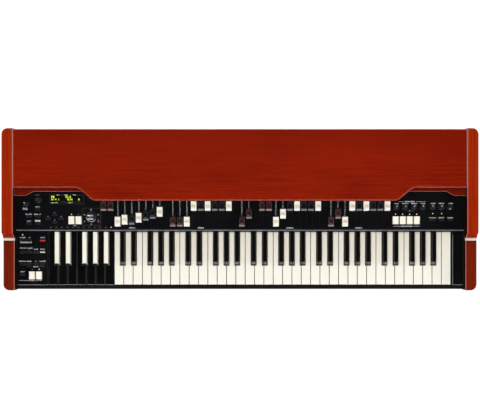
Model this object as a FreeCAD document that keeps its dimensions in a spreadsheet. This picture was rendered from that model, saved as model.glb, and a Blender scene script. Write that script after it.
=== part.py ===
"""A portable drawbar organ with one manual: 61 playing keys, 12 reverse-colour preset keys and 38 drawbars.

The organ stands on its rubber feet: X runs to the player's right, Y to the back and Z up. The origin is on
the table, under the middle of the case. All sizes are in millimetres.
Controls on the sloping panel are drawn flat, with Y up the slope from the panel's front edge and Z out of
its face, and are then laid on the slope by their Placement.
"""

import FreeCAD, Part
import math
import os
import re

import Sketcher
from FreeCAD import Placement, Rotation, Vector

doc = FreeCAD.newDocument("organ")

# Driving sizes: name, value and what it measures
SIZES = [
    ("side_thick", 28, "thickness of an end block"),
    ("left_block_width", 81.1, "left end block to the first preset key"),
    ("right_block_width", 31.4, "last key to the right end block"),
    ("rear_reach", 253.6, "front edge of the panel to the back of the end blocks"),
    ("natural_reach", 137.6, "length of a natural key that shows"),
    ("rail_gap", 2.1, "key fronts to the front rail"),
    ("rail_thick", 8.2, "thickness of the front rail"),
    ("rail_drop", 6, "top of the front rail below the naturals"),
    ("cheek_overhang", 1.2, "cheeks in front of the front rail"),
    ("foot_height", 10, "height of a rubber foot"),
    ("foot_diameter", 24, "diameter of a rubber foot"),
    ("foot_inset", 45, "foot centre from the edge of the base board"),
    ("base_thick", 12, "thickness of the base board"),
    ("seam", 0.3, "clearance between fixed panels"),
    ("corner_radius", 15, "plan radius of the case's outer corners"),
    ("edge_bevel", 2, "bevel of the wooden case's upper edges"),
    ("nose_offset", 5.8, "front of the flat top, before the panel's front edge"),
    ("nose_reach", 17.8, "front of the end block, before the panel's front edge"),
    ("nose_drop", 14, "height of the ogee on the nose"),
    ("nose_radius", 4, "radius of the ogee's round and cove"),
    ("cheek_drop", 21, "top of a cheek below the end block"),
    ("trim_width", 7, "width of the metal trim bar"),
    ("trim_depth", 8, "height of the metal trim bar"),
    ("trim_proud", 0.6, "trim bar above the cheek"),
    ("lid_thick", 12, "thickness of the lid"),
    ("lid_rise", 18, "underside of the lid above the panel's front edge"),
    ("lid_drop", 1, "lid below the top of the end blocks"),
    ("lid_inset", 2.5, "back of the lid inside the end blocks"),
    ("lid_reach_middle", 74.2, "lid's front edge over the drawbars, behind the panel's front edge"),
    ("lid_reach_side", 106.1, "lid's front edge over the side controls, behind the panel's front edge"),
    ("wave_margin", 24, "outermost drawbar to the start of the wave"),
    ("wave_run", 37, "length of the wave's slope along the case"),
    ("wave_radius", 22, "radius of the wave's bends"),
    ("fascia_thick", 8, "thickness of the wooden strip under the lid"),
    ("fascia_lip", 9, "strip in front of the lid's side edge"),
    ("fascia_step", 10.5, "how much further forward the strip stands at its end"),
    ("fascia_end", 29.5, "length of the strip's forward end"),
    ("fascia_run", 19, "length of the strip's slope along the case"),
    ("fascia_radius", 13, "radius of the strip's bends"),
    ("rear_board_thick", 12, "thickness of the rear board"),
    ("plate_thick", 1.5, "thickness of the socket plate"),
    ("plate_height", 50, "height of the socket plate"),
    ("plate_length", 520, "length of the socket plate"),
    ("plate_shift", 150, "middle of the socket plate left of the middle of the case"),
    ("plate_lap", 8, "socket plate over the edge of its cut-out"),
    ("key_pitch", 23.5, "one natural key to the next"),
    ("key_gap", 1.1, "gap between naturals"),
    ("key_top", 82, "table to the top of the naturals"),
    ("key_dip", 10, "travel of a key's front"),
    ("lip_height", 18, "height of a natural's front"),
    ("lip_thick", 11, "thickness of a natural's front lip"),
    ("natural_thick", 9, "thickness of a natural behind its lip"),
    ("lip_bevel", 1.5, "bevel of a natural's front edge"),
    ("sharp_reach", 87.8, "length of a sharp that shows"),
    ("sharp_width", 13, "width of a sharp at its foot"),
    ("sharp_crown", 9.6, "width of a sharp at its top"),
    ("sharp_rise", 11.5, "top of a sharp above the naturals"),
    ("sharp_slope", 5, "lean of a sharp's front"),
    ("sharp_skirt", 16, "depth of a sharp below the top of the naturals"),
    ("sharp_bevel", 0.9, "bevel of a sharp's top edges"),
    ("sharp_gap", 0.8, "gap between a sharp and a natural"),
    ("sharp_shift_c", -2.2, "C sharp from the line between C and D"),
    ("sharp_shift_d", 2.2, "D sharp from the line between D and E"),
    ("sharp_shift_f", -3.5, "F sharp from the line between F and G"),
    ("sharp_shift_g", 0, "G sharp from the line between G and A"),
    ("sharp_shift_a", 3.5, "A sharp from the line between A and B"),
    ("key_stem_width", 10, "width of a key's stem under the panel"),
    ("key_stem_inset", 4, "start of the stems behind the panel's front edge"),
    ("key_tail", 8, "stem behind its pivot"),
    ("pivot_reach", 67, "key pivot behind the panel's front edge"),
    ("pivot_drop", 12, "key pivot below the top of the naturals"),
    ("rod_diameter", 4, "diameter of the pivot rod"),
    ("rod_clearance", 0.06, "radial clearance on the pivot rod"),
    ("sheet_thick", 2, "thickness of the pressed key frame"),
    ("felt_thick", 3.7, "thickness of the felt under the keys"),
    ("felt_width", 18, "width of the felt under the keys"),
    ("felt_inset", 5, "felt behind the keys' fronts"),
    ("felt_clearance", 0.3, "pressed key to its felt"),
    ("shelf_inset", 3, "key frame's front shelf behind the keys' fronts"),
    ("shelf_depth", 26, "depth of the key frame's front shelf"),
    ("deck_height", 32, "key frame's rear deck above the base board"),
    ("deck_reach", 20, "front of the rear deck, before the panel's front edge"),
    ("deck_margin", 11, "rear deck behind the key pivot"),
    ("ear_width", 12, "width of an ear that holds the pivot rod"),
    ("ear_top", 6, "ear above the pivot"),
    ("ear_shift", 0.35, "ear to the right of the line between B and C"),
    ("rod_overhang", 4, "pivot rod beyond each end of the manual"),
    ("rest_width", 5, "width of the bar that the keys' tails rest on"),
    ("contact_width", 30, "width of the key contact board"),
    ("contact_inset", 4, "contact board behind the deck's front edge"),
    ("strip_width", 12, "width of the rubber contact strip"),
    ("strip_height", 4, "height of the rubber contact strip"),
    ("panel_rise", 15, "front edge of the panel above the naturals"),
    ("panel_tilt", 5, "slope of the panel in degrees"),
    ("panel_thick", 2, "thickness of the panel"),
    ("panel_length", 104, "depth of the panel up its slope"),
    ("panel_lip", 3.6, "lip under the panel's front edge, in front of it"),
    ("panel_lip_drop", 1, "top of that lip below the panel's face"),
    ("left_zone", 221.9, "left end block to the first drawbar"),
    ("right_zone", 195.1, "last drawbar to the right end block"),
    ("set_gap", 32.5, "last drawbar of a set to the first of the next"),
    ("knob_gap", 3.45, "gap between drawbar knobs"),
    ("bar_knob_length", 25, "length of a drawbar's knob"),
    ("bar_knob_height", 12.5, "height of a drawbar's knob"),
    ("bar_scoop_radius", 24, "radius of the hollow on a drawbar's knob"),
    ("bar_scoop_depth", 3, "depth of the hollow on a drawbar's knob"),
    ("bar_scoop_middle", 14.5, "middle of the hollow behind the front of the knob"),
    ("bar_nose", 3.5, "rounding of a drawbar knob's front edge"),
    ("bar_stem_width", 8, "width of a drawbar's stem"),
    ("bar_stem_depth", 5.5, "depth of a drawbar's stem"),
    ("bar_stem_length", 84, "length of a drawbar's stem"),
    ("bar_stem_inset", 2.3, "front of the stem behind the front of the knob"),
    ("stem_proud", 0.5, "top of a stem above the panel"),
    ("slide_clearance", 0.3, "clearance of a sliding stem on each side"),
    ("bar_step", 4.92, "travel of a drawbar for one number"),
    ("bar_in", 49.7, "front of a pushed-in knob, up the slope"),
    ("housing_front", 6, "front of the drawbar housings, up the slope"),
    ("housing_length", 144, "length of the drawbar housings"),
    ("housing_depth", 10, "depth of the drawbar housings"),
    ("housing_wall", 4, "side wall of a drawbar housing"),
    ("rotary_lift", 0.5, "underside of a knob above the panel"),
    ("rotary_skirt", 2.5, "height of a knob's skirt"),
    ("rotary_height", 12, "height of a knob above its skirt"),
    ("rotary_grip", 0.8, "width of a knob's grip as a share of its skirt"),
    ("shaft_diameter", 6, "diameter of a knob's shaft"),
    ("shaft_clearance", 0.6, "radial clearance of a shaft in the corners of its hole"),
    ("board_drop", 10, "top of the control boards below the panel's face"),
    ("board_thick", 1.6, "thickness of a circuit board"),
    ("board_front", 14, "front of the control boards, up the slope"),
    ("board_width", 84, "width of the control boards, up the slope"),
    ("board_gap", 8, "control boards from the end blocks"),
    ("left_board_length", 200, "length of the left control board"),
    ("right_board_length", 174, "length of the right control board"),
    ("spacer_side", 6, "side of a control board's square spacer"),
    ("spacer_front", 40, "first row of spacers, up the slope"),
    ("button_width", 12, "width of a push button"),
    ("button_depth", 5, "depth of a push button"),
    ("button_proud", 1.6, "button above its panel"),
    ("button_tail", 6, "button below its panel's face"),
    ("button_clearance", 0.4, "clearance round a button"),
    ("button_travel", 1, "travel of a button"),
    ("tab_pitch", 17.6, "one tab switch to the next"),
    ("tab_gap", 2.4, "gap between tab switches"),
    ("tab_length", 18.8, "length of a tab switch"),
    ("tab_proud", 6, "tab switch above its panel"),
    ("tab_lamp_gap", 6.4, "lamp behind a tab switch"),
    ("tab_tail", 5, "tab switch below its panel's face"),
    ("tab_clearance", 0.8, "clearance round a row of tab switches"),
    ("tab_hollow_radius", 34, "radius of the finger hollow on a tab switch"),
    ("tab_hollow_depth", 1.2, "depth of the finger hollow on a tab switch"),
    ("block_rise", 4, "top of the key blocks above the naturals"),
    ("block_wall", 3, "wall of the key blocks"),
    ("block_gap", 3, "key blocks in front of the panel"),
    ("left_key_gap", 1.5, "left key block to the first preset key"),
    ("right_key_gap", 3, "last key to the right key block"),
    ("lamp_diameter", 2.4, "diameter of an indicator lamp"),
    ("lamp_proud", 0.8, "indicator lamp above its panel"),
    ("display_width", 82, "width of the display's window"),
    ("display_depth", 20, "depth of the display's window"),
    ("display_flange", 2, "flange of the display beyond its window"),
    ("display_proud", 1, "flange of the display above the panel"),
    ("display_tail", 7, "display below the panel's face"),
    ("display_left", 88.5, "left end block to the display's window"),
    ("display_reach", 68, "front of the display's window, up the slope"),
    ("jack_radius", 3.2, "radius of a jack socket's bore"),
    ("jack_wall", 2.8, "wall of a jack socket at the corners of its nut"),
    ("jack_length", 22, "length of a jack socket"),
    ("jack_depth", 20, "depth of a jack socket's bore"),
    ("round_radius", 6.7, "radius of a round socket's recess"),
    ("round_wall", 2.3, "wall of a round socket"),
    ("round_length", 14, "length of a round socket"),
    ("round_depth", 8, "depth of a round socket's recess"),
    ("socket_pitch", 38, "one rear socket to the next"),
    ("socket_height", 70, "table to the middle of the rear sockets"),
    ("socket_proud", 1.2, "rear sockets proud of their plate"),
    ("inlet_width", 28, "width of the mains inlet"),
    ("inlet_height", 20, "height of the mains inlet"),
    ("inlet_length", 24, "length of the mains inlet"),
    ("inlet_wall", 2.5, "wall of the mains inlet"),
    ("inlet_depth", 16, "depth of the mains inlet's recess"),
    ("rocker_width", 12, "width of the power rocker"),
    ("rocker_height", 18, "height of the power rocker"),
    ("rocker_clearance", 0.9, "power rocker to the upper and lower side of its hole"),
    ("rocker_face", 6, "ends of the power rocker's face behind its pivot"),
    ("rocker_valley", 1.2, "depth of the shallow V in the power rocker's face"),
    ("rocker_depth", 8, "power rocker in front of its pivot"),
    ("rocker_proud", 0.3, "power rocker proud of the socket plate"),
    ("rocker_tip", 7, "tilt of the power rocker in degrees when off"),
    ("screw_radius", 2, "radius of a case screw's shank"),
    ("screw_clearance", 0.3, "clearance round a screw's shank"),
    ("screw_head_radius", 3.6, "radius of a case screw's head"),
    ("screw_head_height", 2, "height of a case screw's head"),
    ("screw_length", 10, "length of a case screw's shank"),
    ("boss_height", 14, "height of the base board's bosses"),
    ("boss_radius", 5, "radius of the base board's bosses"),
    ("boss_inset", 10, "boss centres from the edges of the main board"),
    ("main_board_length", 400, "length of the main board"),
    ("main_board_width", 60, "width of the main board"),
    ("main_board_gap", 25, "main board in front of the rear board's face"),
    ("supply_gap", 120, "power supply from the left end block"),
    ("supply_length", 130, "length of the power supply"),
    ("supply_width", 70, "width of the power supply"),
    ("supply_height", 32, "height of the power supply"),
    ("screw_inset", 60, "case screws from the front rail and from the rear face"),
]

# Sizes that follow from the driving ones
LAYOUT = [
    ("manual_width", "43 * key_pitch"),
    ("inner_width", "left_block_width + manual_width + right_block_width"),
    ("case_width", "inner_width + 2 * side_thick"),
    ("case_depth", "rear_reach + natural_reach + rail_gap + rail_thick + cheek_overhang"),
    ("case_rear", "case_depth / 2"),
    ("case_front", "-case_depth / 2"),
    ("inner_left", "-inner_width / 2"),
    ("inner_right", "inner_width / 2"),
    ("base_top", "foot_height + base_thick"),
    ("panel_front", "case_rear - rear_reach"),
    ("panel_height", "key_top + panel_rise"),
    ("lid_under", "panel_height + lid_rise"),
    ("lid_top", "lid_under + lid_thick"),
    ("case_height", "lid_top + lid_drop"),
    ("cheek_top", "case_height - cheek_drop"),
    ("key_front", "panel_front - natural_reach"),
    ("rail_rear", "key_front - rail_gap"),
    ("rail_front", "rail_rear - rail_thick"),
    ("block_front", "panel_front - nose_reach"),
    ("lid_rear", "case_rear - lid_inset"),
    ("rear_face", "lid_rear - 0.8"),
    ("manual_left", "inner_left + left_block_width"),
    ("manual_right", "manual_left + manual_width"),
    ("octave", "7 * key_pitch"),
    ("notch_half", "sharp_width / 2 + sharp_gap"),
    ("notch_front", "panel_front - sharp_reach - sharp_gap"),
    ("stem_front", "panel_front + key_stem_inset"),
    ("pivot_y", "panel_front + pivot_reach"),
    ("pivot_z", "key_top - pivot_drop"),
    ("stem_rear", "pivot_y + key_tail"),
    ("lip_bottom", "key_top - lip_height"),
    ("felt_top", "lip_bottom - key_dip - felt_clearance"),
    ("shelf_top", "felt_top - felt_thick"),
    ("deck_top", "base_top + deck_height"),
    ("deck_front", "panel_front - deck_reach"),
    ("deck_rear", "pivot_y + deck_margin"),
    ("main_board_front", "rear_face - main_board_gap - main_board_width"),
    ("bars_left", "inner_left + left_zone"),
    ("bars_right", "inner_right - right_zone"),
    ("bar_pitch", "(bars_right - bars_left - 4 * set_gap) / 33"),
    ("knob_width", "bar_pitch - knob_gap"),
    ("wave_left", "bars_left - wave_margin"),
    ("wave_right", "bars_right + wave_margin"),
    ("lid_middle", "panel_front + lid_reach_middle"),
    ("lid_side", "panel_front + lid_reach_side"),
    ("block_top", "key_top + block_rise"),
    ("tab_width", "tab_pitch - tab_gap"),
    ("plate_left", "-plate_shift - plate_length / 2"),
    ("plate_low", "socket_height - plate_height / 2"),
]

VALUES = {name: value for name, value, _ in SIZES}
DERIVED = {name for name, _ in LAYOUT}


def formula(text):
    """The text as an expression: each size in it points at the sheet or at the layout."""

    def point(match):
        name = match.group()
        if name in VALUES:
            return "sizes." + name
        return "layout." + name if name in DERIVED else name

    return re.sub(r"[a-z_]+", point, str(text))


def fill_sheet():
    """Writes the driving sizes into the sheet, one alias to a row."""
    sheet = doc.addObject("Spreadsheet::Sheet", "sizes")
    for row, (name, value, meaning) in enumerate(SIZES, 1):
        sheet.set(f"A{row}", name)
        sheet.set(f"B{row}", str(value))
        sheet.set(f"C{row}", meaning)
        sheet.setAlias(f"B{row}", name)
    doc.recompute()
    return sheet


def fill_layout():
    """Holds the sizes that follow, each bound to the ones it comes from."""
    held = doc.addObject("App::VarSet", "layout")
    for name, text in LAYOUT:
        held.addProperty("App::PropertyFloat", name)
        held.setExpression(name, formula(text))
    doc.recompute()
    return held


sizes = fill_sheet()
layout = fill_layout()


def size(name):
    """A driving or following size as a plain number."""
    return float(getattr(layout if name in DERIVED else sizes, name))


# Helpers that build objects whose sizes follow the sheet

NODES = {}


def node(name, thing):
    """Labels an object as a sub-part, which is written under that name."""
    thing.Label = name
    NODES[name] = thing
    return thing


def place(thing, corner):
    """Binds an object's position to three expressions."""
    for axis, text in zip("xyz", corner):
        thing.setExpression("Placement.Base." + axis, formula(text))
    return thing


def lay_on_slope(thing):
    """Moves an object drawn in the panel's own frame onto the slope."""
    thing.Placement = Placement(Vector(), Rotation(Vector(1, 0, 0), 1))
    thing.setExpression("Placement.Rotation.Angle", formula("panel_tilt"))
    return place(thing, ("0", "panel_front", "panel_height"))


def box(name, corner, sides):
    """A block from its lowest corner and its three sides."""
    made = doc.addObject("Part::Box", name)
    for side, text in zip(("Length", "Width", "Height"), sides):
        made.setExpression(side, formula(text))
    return place(made, corner)


TURNED = {
    "z": Rotation(),
    "y": Rotation(Vector(1, 0, 0), -90),
    "x": Rotation(Vector(0, 1, 0), 90),
}


def cylinder(name, base, radius, height, along="z"):
    """A cylinder from the middle of its base, up or along an axis."""
    made = doc.addObject("Part::Cylinder", name)
    made.Placement = Placement(Vector(), TURNED[along])
    made.setExpression("Radius", formula(radius))
    made.setExpression("Height", formula(height))
    return place(made, base)


def prism(name, base, radius, height, sides, along="z"):
    """A prism of the given number of sides, up or along an axis, sized to its corners."""
    made = doc.addObject("Part::Prism", name)
    made.Placement = Placement(Vector(), TURNED[along])
    made.Polygon = sides
    made.setExpression("Circumradius", formula(radius))
    made.setExpression("Height", formula(height))
    return place(made, base)


def group(name, members):
    """Separate solids kept together as one sub-part."""
    made = doc.addObject("Part::Compound", name)
    made.Links = members
    return made


def fuse(name, members):
    """One solid out of several that meet."""
    made = doc.addObject("Part::MultiFuse", name)
    made.Shapes = members
    return made


def cut(name, base, tools):
    """The base with one or several tools taken out of it."""
    made = doc.addObject("Part::Cut", name)
    made.Base = base
    made.Tool = tools[0] if len(tools) == 1 else group(name + "_tools", tools)
    return made


def copy_at(name, original, corner):
    """A linked copy of an object at another place."""
    made = doc.addObject("App::Link", name)
    made.setLink(original)
    return place(made, corner)


def origin_plane(body, role):
    return next(f for f in body.Origin.OriginFeatures if f.Role == role)


def outline(body, name, plane, points, offset="0"):
    """A closed sketch of straight lines whose corners are pairs of expressions."""
    sketch = body.newObject("Sketcher::SketchObject", name)
    sketch.AttachmentSupport = (origin_plane(body, plane), [""])
    sketch.MapMode = "FlatFace"
    sketch.setExpression("AttachmentOffset.Base.z", formula(offset))
    count = len(points)
    rough = [
        Vector(math.cos(2 * math.pi * i / count), math.sin(2 * math.pi * i / count), 0)
        for i in range(count)
    ]
    for i in range(count):
        sketch.addGeometry(Part.LineSegment(rough[i], rough[(i + 1) % count]))
    joined = [Sketcher.Constraint("Coincident", i, 2, (i + 1) % count, 1) for i in range(count)]
    sketch.addConstraint(joined)
    for i, corner in enumerate(points):
        for kind, start, text in zip(("DistanceX", "DistanceY"), rough[i], corner):
            index = sketch.addConstraint(Sketcher.Constraint(kind, -1, 1, i, 1, start))
            sketch.setExpression(f"Constraints[{index}]", formula(text))
    return sketch


def pad(body, sketch, length, name="pad"):
    made = body.newObject("PartDesign::Pad", name)
    made.Profile = sketch
    made.setExpression("Length", formula(length))
    return made


def pocket(body, sketch, length, name="pocket"):
    """Takes the sketch out of the body, the same distance to both sides of its plane."""
    made = body.newObject("PartDesign::Pocket", name)
    made.Profile = sketch
    made.Midplane = True
    made.setExpression("Length", formula(length))
    return made


def edges_near(shape, points):
    """Names of the edges whose middles lie nearest to the points."""
    names = []
    for point in points:
        gaps = [
            (edge.valueAt((edge.FirstParameter + edge.LastParameter) / 2) - point).Length
            for edge in shape.Edges
        ]
        names.append(f"Edge{gaps.index(min(gaps)) + 1}")
    return names


def round_edges(body, feature, points, radius, name="round"):
    """Rounds the body's edges that lie nearest to the points."""
    doc.recompute()
    made = body.newObject("PartDesign::Fillet", name)
    made.Base = (feature, edges_near(feature.Shape, points))
    made.setExpression("Radius", formula(radius))
    return made


def bevel_edges(body, feature, points, width, name="bevel"):
    """Bevels the body's edges that lie nearest to the points."""
    doc.recompute()
    made = body.newObject("PartDesign::Chamfer", name)
    made.Base = (feature, edges_near(feature.Shape, points))
    made.setExpression("Size", formula(width))
    return made


# The case


def end_block(side, corner):
    """A tall end block with a stepped nose, its plan corner rounded at the back."""
    body = doc.addObject("PartDesign::Body", side + "_block_body")
    profile = outline(body, "profile", "YZ_Plane", [
        ("case_rear", "foot_height"),
        ("case_rear", "case_height"),
        ("panel_front - nose_offset", "case_height"),
        ("block_front + nose_radius", "case_height - nose_drop"),
        ("block_front", "case_height - nose_drop"),
        ("block_front", "foot_height"),
    ])
    solid = pad(body, profile, "side_thick")
    outer = 0 if side == "left" else size("side_thick")
    middle = (size("case_height") + size("foot_height")) / 2
    rounded = round_edges(body, solid, [Vector(outer, size("case_rear"), middle)], "corner_radius")
    half = size("side_thick") / 2
    shoulder = size("panel_front") - size("nose_offset")
    cove = size("block_front") + size("nose_radius")
    nose = [
        Vector(half, shoulder, size("case_height")),
        Vector(half, cove, size("case_height") - size("nose_drop")),
    ]
    nosed = round_edges(body, rounded, nose, "nose_radius", "nose")
    long_edge = Vector(outer, size("case_rear") - size("rear_reach") / 2, size("case_height"))
    bevel_edges(body, nosed, [long_edge], "edge_bevel", "upper_edge")
    return node(side + "_end_block", place(body, (corner, "0", "0")))


def cheek(side, corner):
    """A lower front cheek, rebated at the back for the trim bar."""
    body = doc.addObject("PartDesign::Body", side + "_cheek_body")
    profile = outline(body, "profile", "YZ_Plane", [
        ("block_front", "foot_height"),
        ("block_front", "cheek_top - trim_depth"),
        ("block_front - trim_width", "cheek_top - trim_depth"),
        ("block_front - trim_width", "cheek_top"),
        ("case_front", "cheek_top"),
        ("case_front", "foot_height"),
    ])
    solid = pad(body, profile, "side_thick")
    outer = 0 if side == "left" else size("side_thick")
    middle = (size("cheek_top") + size("foot_height")) / 2
    rounded = round_edges(body, solid, [Vector(outer, size("case_front"), middle)], "corner_radius")
    upper = Vector(outer, (size("case_front") + size("block_front")) / 2, size("cheek_top"))
    bevel_edges(body, rounded, [upper], "edge_bevel", "upper_edge")
    return node(side + "_cheek", place(body, (corner, "0", "0")))


def trim_bars():
    """The two metal bars in the rebates between the cheeks and the end blocks."""
    return node("cheek_trims", group("trims", [
        box(
            side + "_trim",
            (corner, "block_front - trim_width", "cheek_top - trim_depth"),
            ("side_thick", "trim_width", "trim_depth + trim_proud"),
        )
        for side, corner in (("left", "-case_width / 2"), ("right", "inner_right"))
    ]))


def lid():
    """The flat lid, whose front edge steps back in a wave over the side controls."""
    body = doc.addObject("PartDesign::Body", "lid_body")
    corners = [
        ("inner_left + seam", "lid_rear"),
        ("inner_left + seam", "lid_side"),
        ("wave_left - wave_run", "lid_side"),
        ("wave_left", "lid_middle"),
        ("wave_right", "lid_middle"),
        ("wave_right + wave_run", "lid_side"),
        ("inner_right - seam", "lid_side"),
        ("inner_right - seam", "lid_rear"),
    ]
    solid = pad(body, outline(body, "plan", "XY_Plane", corners, "lid_under"), "lid_thick")
    level = (size("lid_top") + size("lid_under")) / 2
    bends = [
        Vector(size("wave_left") - size("wave_run"), size("lid_side"), level),
        Vector(size("wave_left"), size("lid_middle"), level),
        Vector(size("wave_right"), size("lid_middle"), level),
        Vector(size("wave_right") + size("wave_run"), size("lid_side"), level),
    ]
    waved = round_edges(body, solid, bends, "wave_radius")
    front = Vector((size("wave_left") + size("wave_right")) / 2, size("lid_middle"), size("lid_top"))
    bevel_edges(body, waved, [front], "edge_bevel", "front_edge")
    return node("top_lid", body)


def fascia(side, sign, inner):
    """One wooden strip under the lid: it follows the lid's side edge and steps forward at its end."""
    body = doc.addObject("PartDesign::Body", side + "_fascia_body")
    wave = f"wave_{side}"
    reach = "lid_side - fascia_lip"
    corners = [
        (f"{inner} - {sign} * seam", "lid_side + 12"),
        (f"{inner} - {sign} * seam", f"{reach} - fascia_step"),
        (f"{inner} - {sign} * fascia_end", f"{reach} - fascia_step"),
        (f"{inner} - {sign} * (fascia_end + fascia_run)", reach),
        (f"{wave} + {sign} * (wave_run - 10)", reach),
        (f"{wave} + {sign} * (wave_run - 10)", "lid_side + 12"),
    ]
    plan = outline(body, "plan", "XY_Plane", corners, "lid_under - fascia_thick")
    solid = pad(body, plan, "fascia_thick")
    level = size("lid_under") - size("fascia_thick") / 2
    front = size("lid_side") - size("fascia_lip")
    end = size("inner_width") / 2 - size("fascia_end")
    bends = [
        Vector(sign * end, front - size("fascia_step"), level),
        Vector(sign * (end - size("fascia_run")), front, level),
    ]
    round_edges(body, solid, bends, "fascia_radius")
    return body


def base_board():
    """The base board, with bosses for the main board and holes for the screws."""
    board = box(
        "base_plank",
        ("inner_left + seam", "rail_rear + seam", "foot_height"),
        ("inner_width - 2 * seam", "rear_face - rear_board_thick - rail_rear - 2 * seam", "base_thick"),
    )
    bosses = [
        prism(f"boss_{i}", (x, y, "base_top - 1"), "boss_radius", "boss_height + 1", 8)
        for i, (x, y) in enumerate(MAIN_BOARD_CORNERS)
    ]
    holes = [
        prism(
            f"screw_hole_{i}", (x, y, "foot_height - 1"), "screw_radius + screw_clearance",
            "screw_length + 1", 6,
        )
        for i, (x, y) in enumerate(BASE_SCREWS)
    ]
    return node("base_board", cut("base_cut", fuse("base_with_bosses", [board, *bosses]), holes))


MAIN_BOARD_CORNERS = [
    (f"{sign} * (main_board_length / 2 - boss_inset)", y)
    for sign in (-1, 1)
    for y in ("main_board_front + boss_inset", "main_board_front + main_board_width - boss_inset")
]
BASE_SCREWS = [
    (f"{share} * inner_width", y)
    for share in (-0.42, -0.15, 0.15, 0.42)
    for y in ("rail_rear + screw_inset", "rear_face - screw_inset")
]


def feet():
    """Four rubber feet under the corners of the base board."""
    places = [
        (f"{sign} * (inner_right - foot_inset)", y)
        for sign in (-1, 1)
        for y in ("rail_rear + foot_inset", "rear_face - foot_inset")
    ]
    return node("rubber_feet", group("feet", [
        prism(f"foot_{i}", (x, y, "0"), "foot_diameter / 2", "foot_height", 20)
        for i, (x, y) in enumerate(places)
    ]))


def screws():
    """The screws that enter the base board from below."""
    made = []
    for i, (x, y) in enumerate(BASE_SCREWS):
        head = prism(
            f"screw_head_{i}", (x, y, "foot_height - screw_head_height"),
            "screw_head_radius", "screw_head_height", 6,
        )
        shank = prism(f"screw_shank_{i}", (x, y, "foot_height - 0.5"), "screw_radius", "screw_length", 6)
        made.append(fuse(f"screw_{i}", [head, shank]))
    return node("case_screws", group("screws", made))


def front_rail():
    """The black rail in front of the keys."""
    return node("front_rail", box(
        "rail",
        ("inner_left + seam", "rail_front", "foot_height"),
        ("inner_width - 2 * seam", "rail_thick", "key_top - rail_drop - foot_height"),
    ))


def rear_board():
    """The rear board, cut out behind the socket plate."""
    board = box(
        "rear_plank",
        ("inner_left + seam", "rear_face - rear_board_thick", "foot_height"),
        ("inner_width - 2 * seam", "rear_board_thick", "lid_under - foot_height"),
    )
    hole = box(
        "plate_hole",
        ("plate_left + plate_lap", "rear_face - rear_board_thick - 1", "plate_low + plate_lap"),
        ("plate_length - 2 * plate_lap", "rear_board_thick + 2", "plate_height - 2 * plate_lap"),
    )
    return node("rear_board", cut("rear_cut", board, [hole]))


# Sockets at the back

JACKS = ["phones", "line_right", "line_left", "foot_switch"]
ROUNDS = ["midi_in", "midi_out"]
FIRST_SOCKET = "plate_left + plate_length - 60"


def socket_sides(kind):
    """A jack socket has a six-sided nut, and a round socket a nearly round collar."""
    return 6 if kind == "jack" else 12


def socket_places():
    """Each round-bored socket with the expression of its place along the case."""
    return [
        (name, f"{FIRST_SOCKET} - {i} * socket_pitch")
        for i, name in enumerate(JACKS + ROUNDS)
    ]


INLET_X = "plate_left + 60"
ROCKER_X = "plate_left + 60 + 1.6 * socket_pitch"
ROCKER_TURN = "rear_face + plate_thick - rocker_face + rocker_proud"


def jack_plate():
    """The steel plate that carries the sockets, with a hole for each."""
    plate = box(
        "plate_blank",
        ("plate_left", "rear_face", "plate_low"),
        ("plate_length", "plate_thick", "plate_height"),
    )
    holes = []
    for name, x in socket_places():
        kind = "jack" if name in JACKS else "round"
        radius = f"{kind}_radius + {kind}_wall + seam"
        start = (x, "rear_face - 1", "socket_height")
        holes.append(cylinder(name + "_hole", start, radius, "plate_thick + 2", "y"))
    holes.append(box(
        "inlet_hole",
        (f"{INLET_X} - inlet_width / 2 - seam", "rear_face - 1", "socket_height - inlet_height / 2 - seam"),
        ("inlet_width + 2 * seam", "plate_thick + 2", "inlet_height + 2 * seam"),
    ))
    holes.append(box(
        "rocker_hole",
        (f"{ROCKER_X} - rocker_width / 2 - seam", "rear_face - 1",
         "socket_height - rocker_height / 2 - seam"),
        ("rocker_width + 2 * seam", "plate_thick + 2", "rocker_height + 2 * seam"),
    ))
    return node("jack_plate", cut("plate_cut", plate, holes))


def rear_sockets():
    """Jack sockets, round sockets and the mains inlet, each hollow as the real one is."""
    made = []
    for name, x in socket_places():
        kind = "jack" if name in JACKS else "round"
        mouth = "rear_face + plate_thick + socket_proud"
        start = (x, f"{mouth} - {kind}_length", "socket_height")
        outer = f"{kind}_radius + {kind}_wall"
        barrel = prism(name + "_barrel", start, outer, f"{kind}_length", socket_sides(kind), "y")
        start = (x, f"{mouth} - {kind}_depth", "socket_height")
        bore = cylinder(name + "_bore", start, f"{kind}_radius", f"{kind}_depth + 1", "y")
        made.append(cut(name + "_socket", barrel, [bore]))
    shell = box(
        "inlet_shell",
        (f"{INLET_X} - inlet_width / 2", "rear_face + plate_thick + socket_proud - inlet_length",
         "socket_height - inlet_height / 2"),
        ("inlet_width", "inlet_length", "inlet_height"),
    )
    recess = box(
        "inlet_recess",
        (f"{INLET_X} - inlet_width / 2 + inlet_wall", "rear_face + plate_thick + socket_proud - inlet_depth",
         "socket_height - inlet_height / 2 + inlet_wall"),
        ("inlet_width - 2 * inlet_wall", "inlet_depth + 1", "inlet_height - 2 * inlet_wall"),
    )
    made.append(cut("mains_inlet", shell, [recess]))
    return node("rear_sockets", group("sockets", made))


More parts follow.
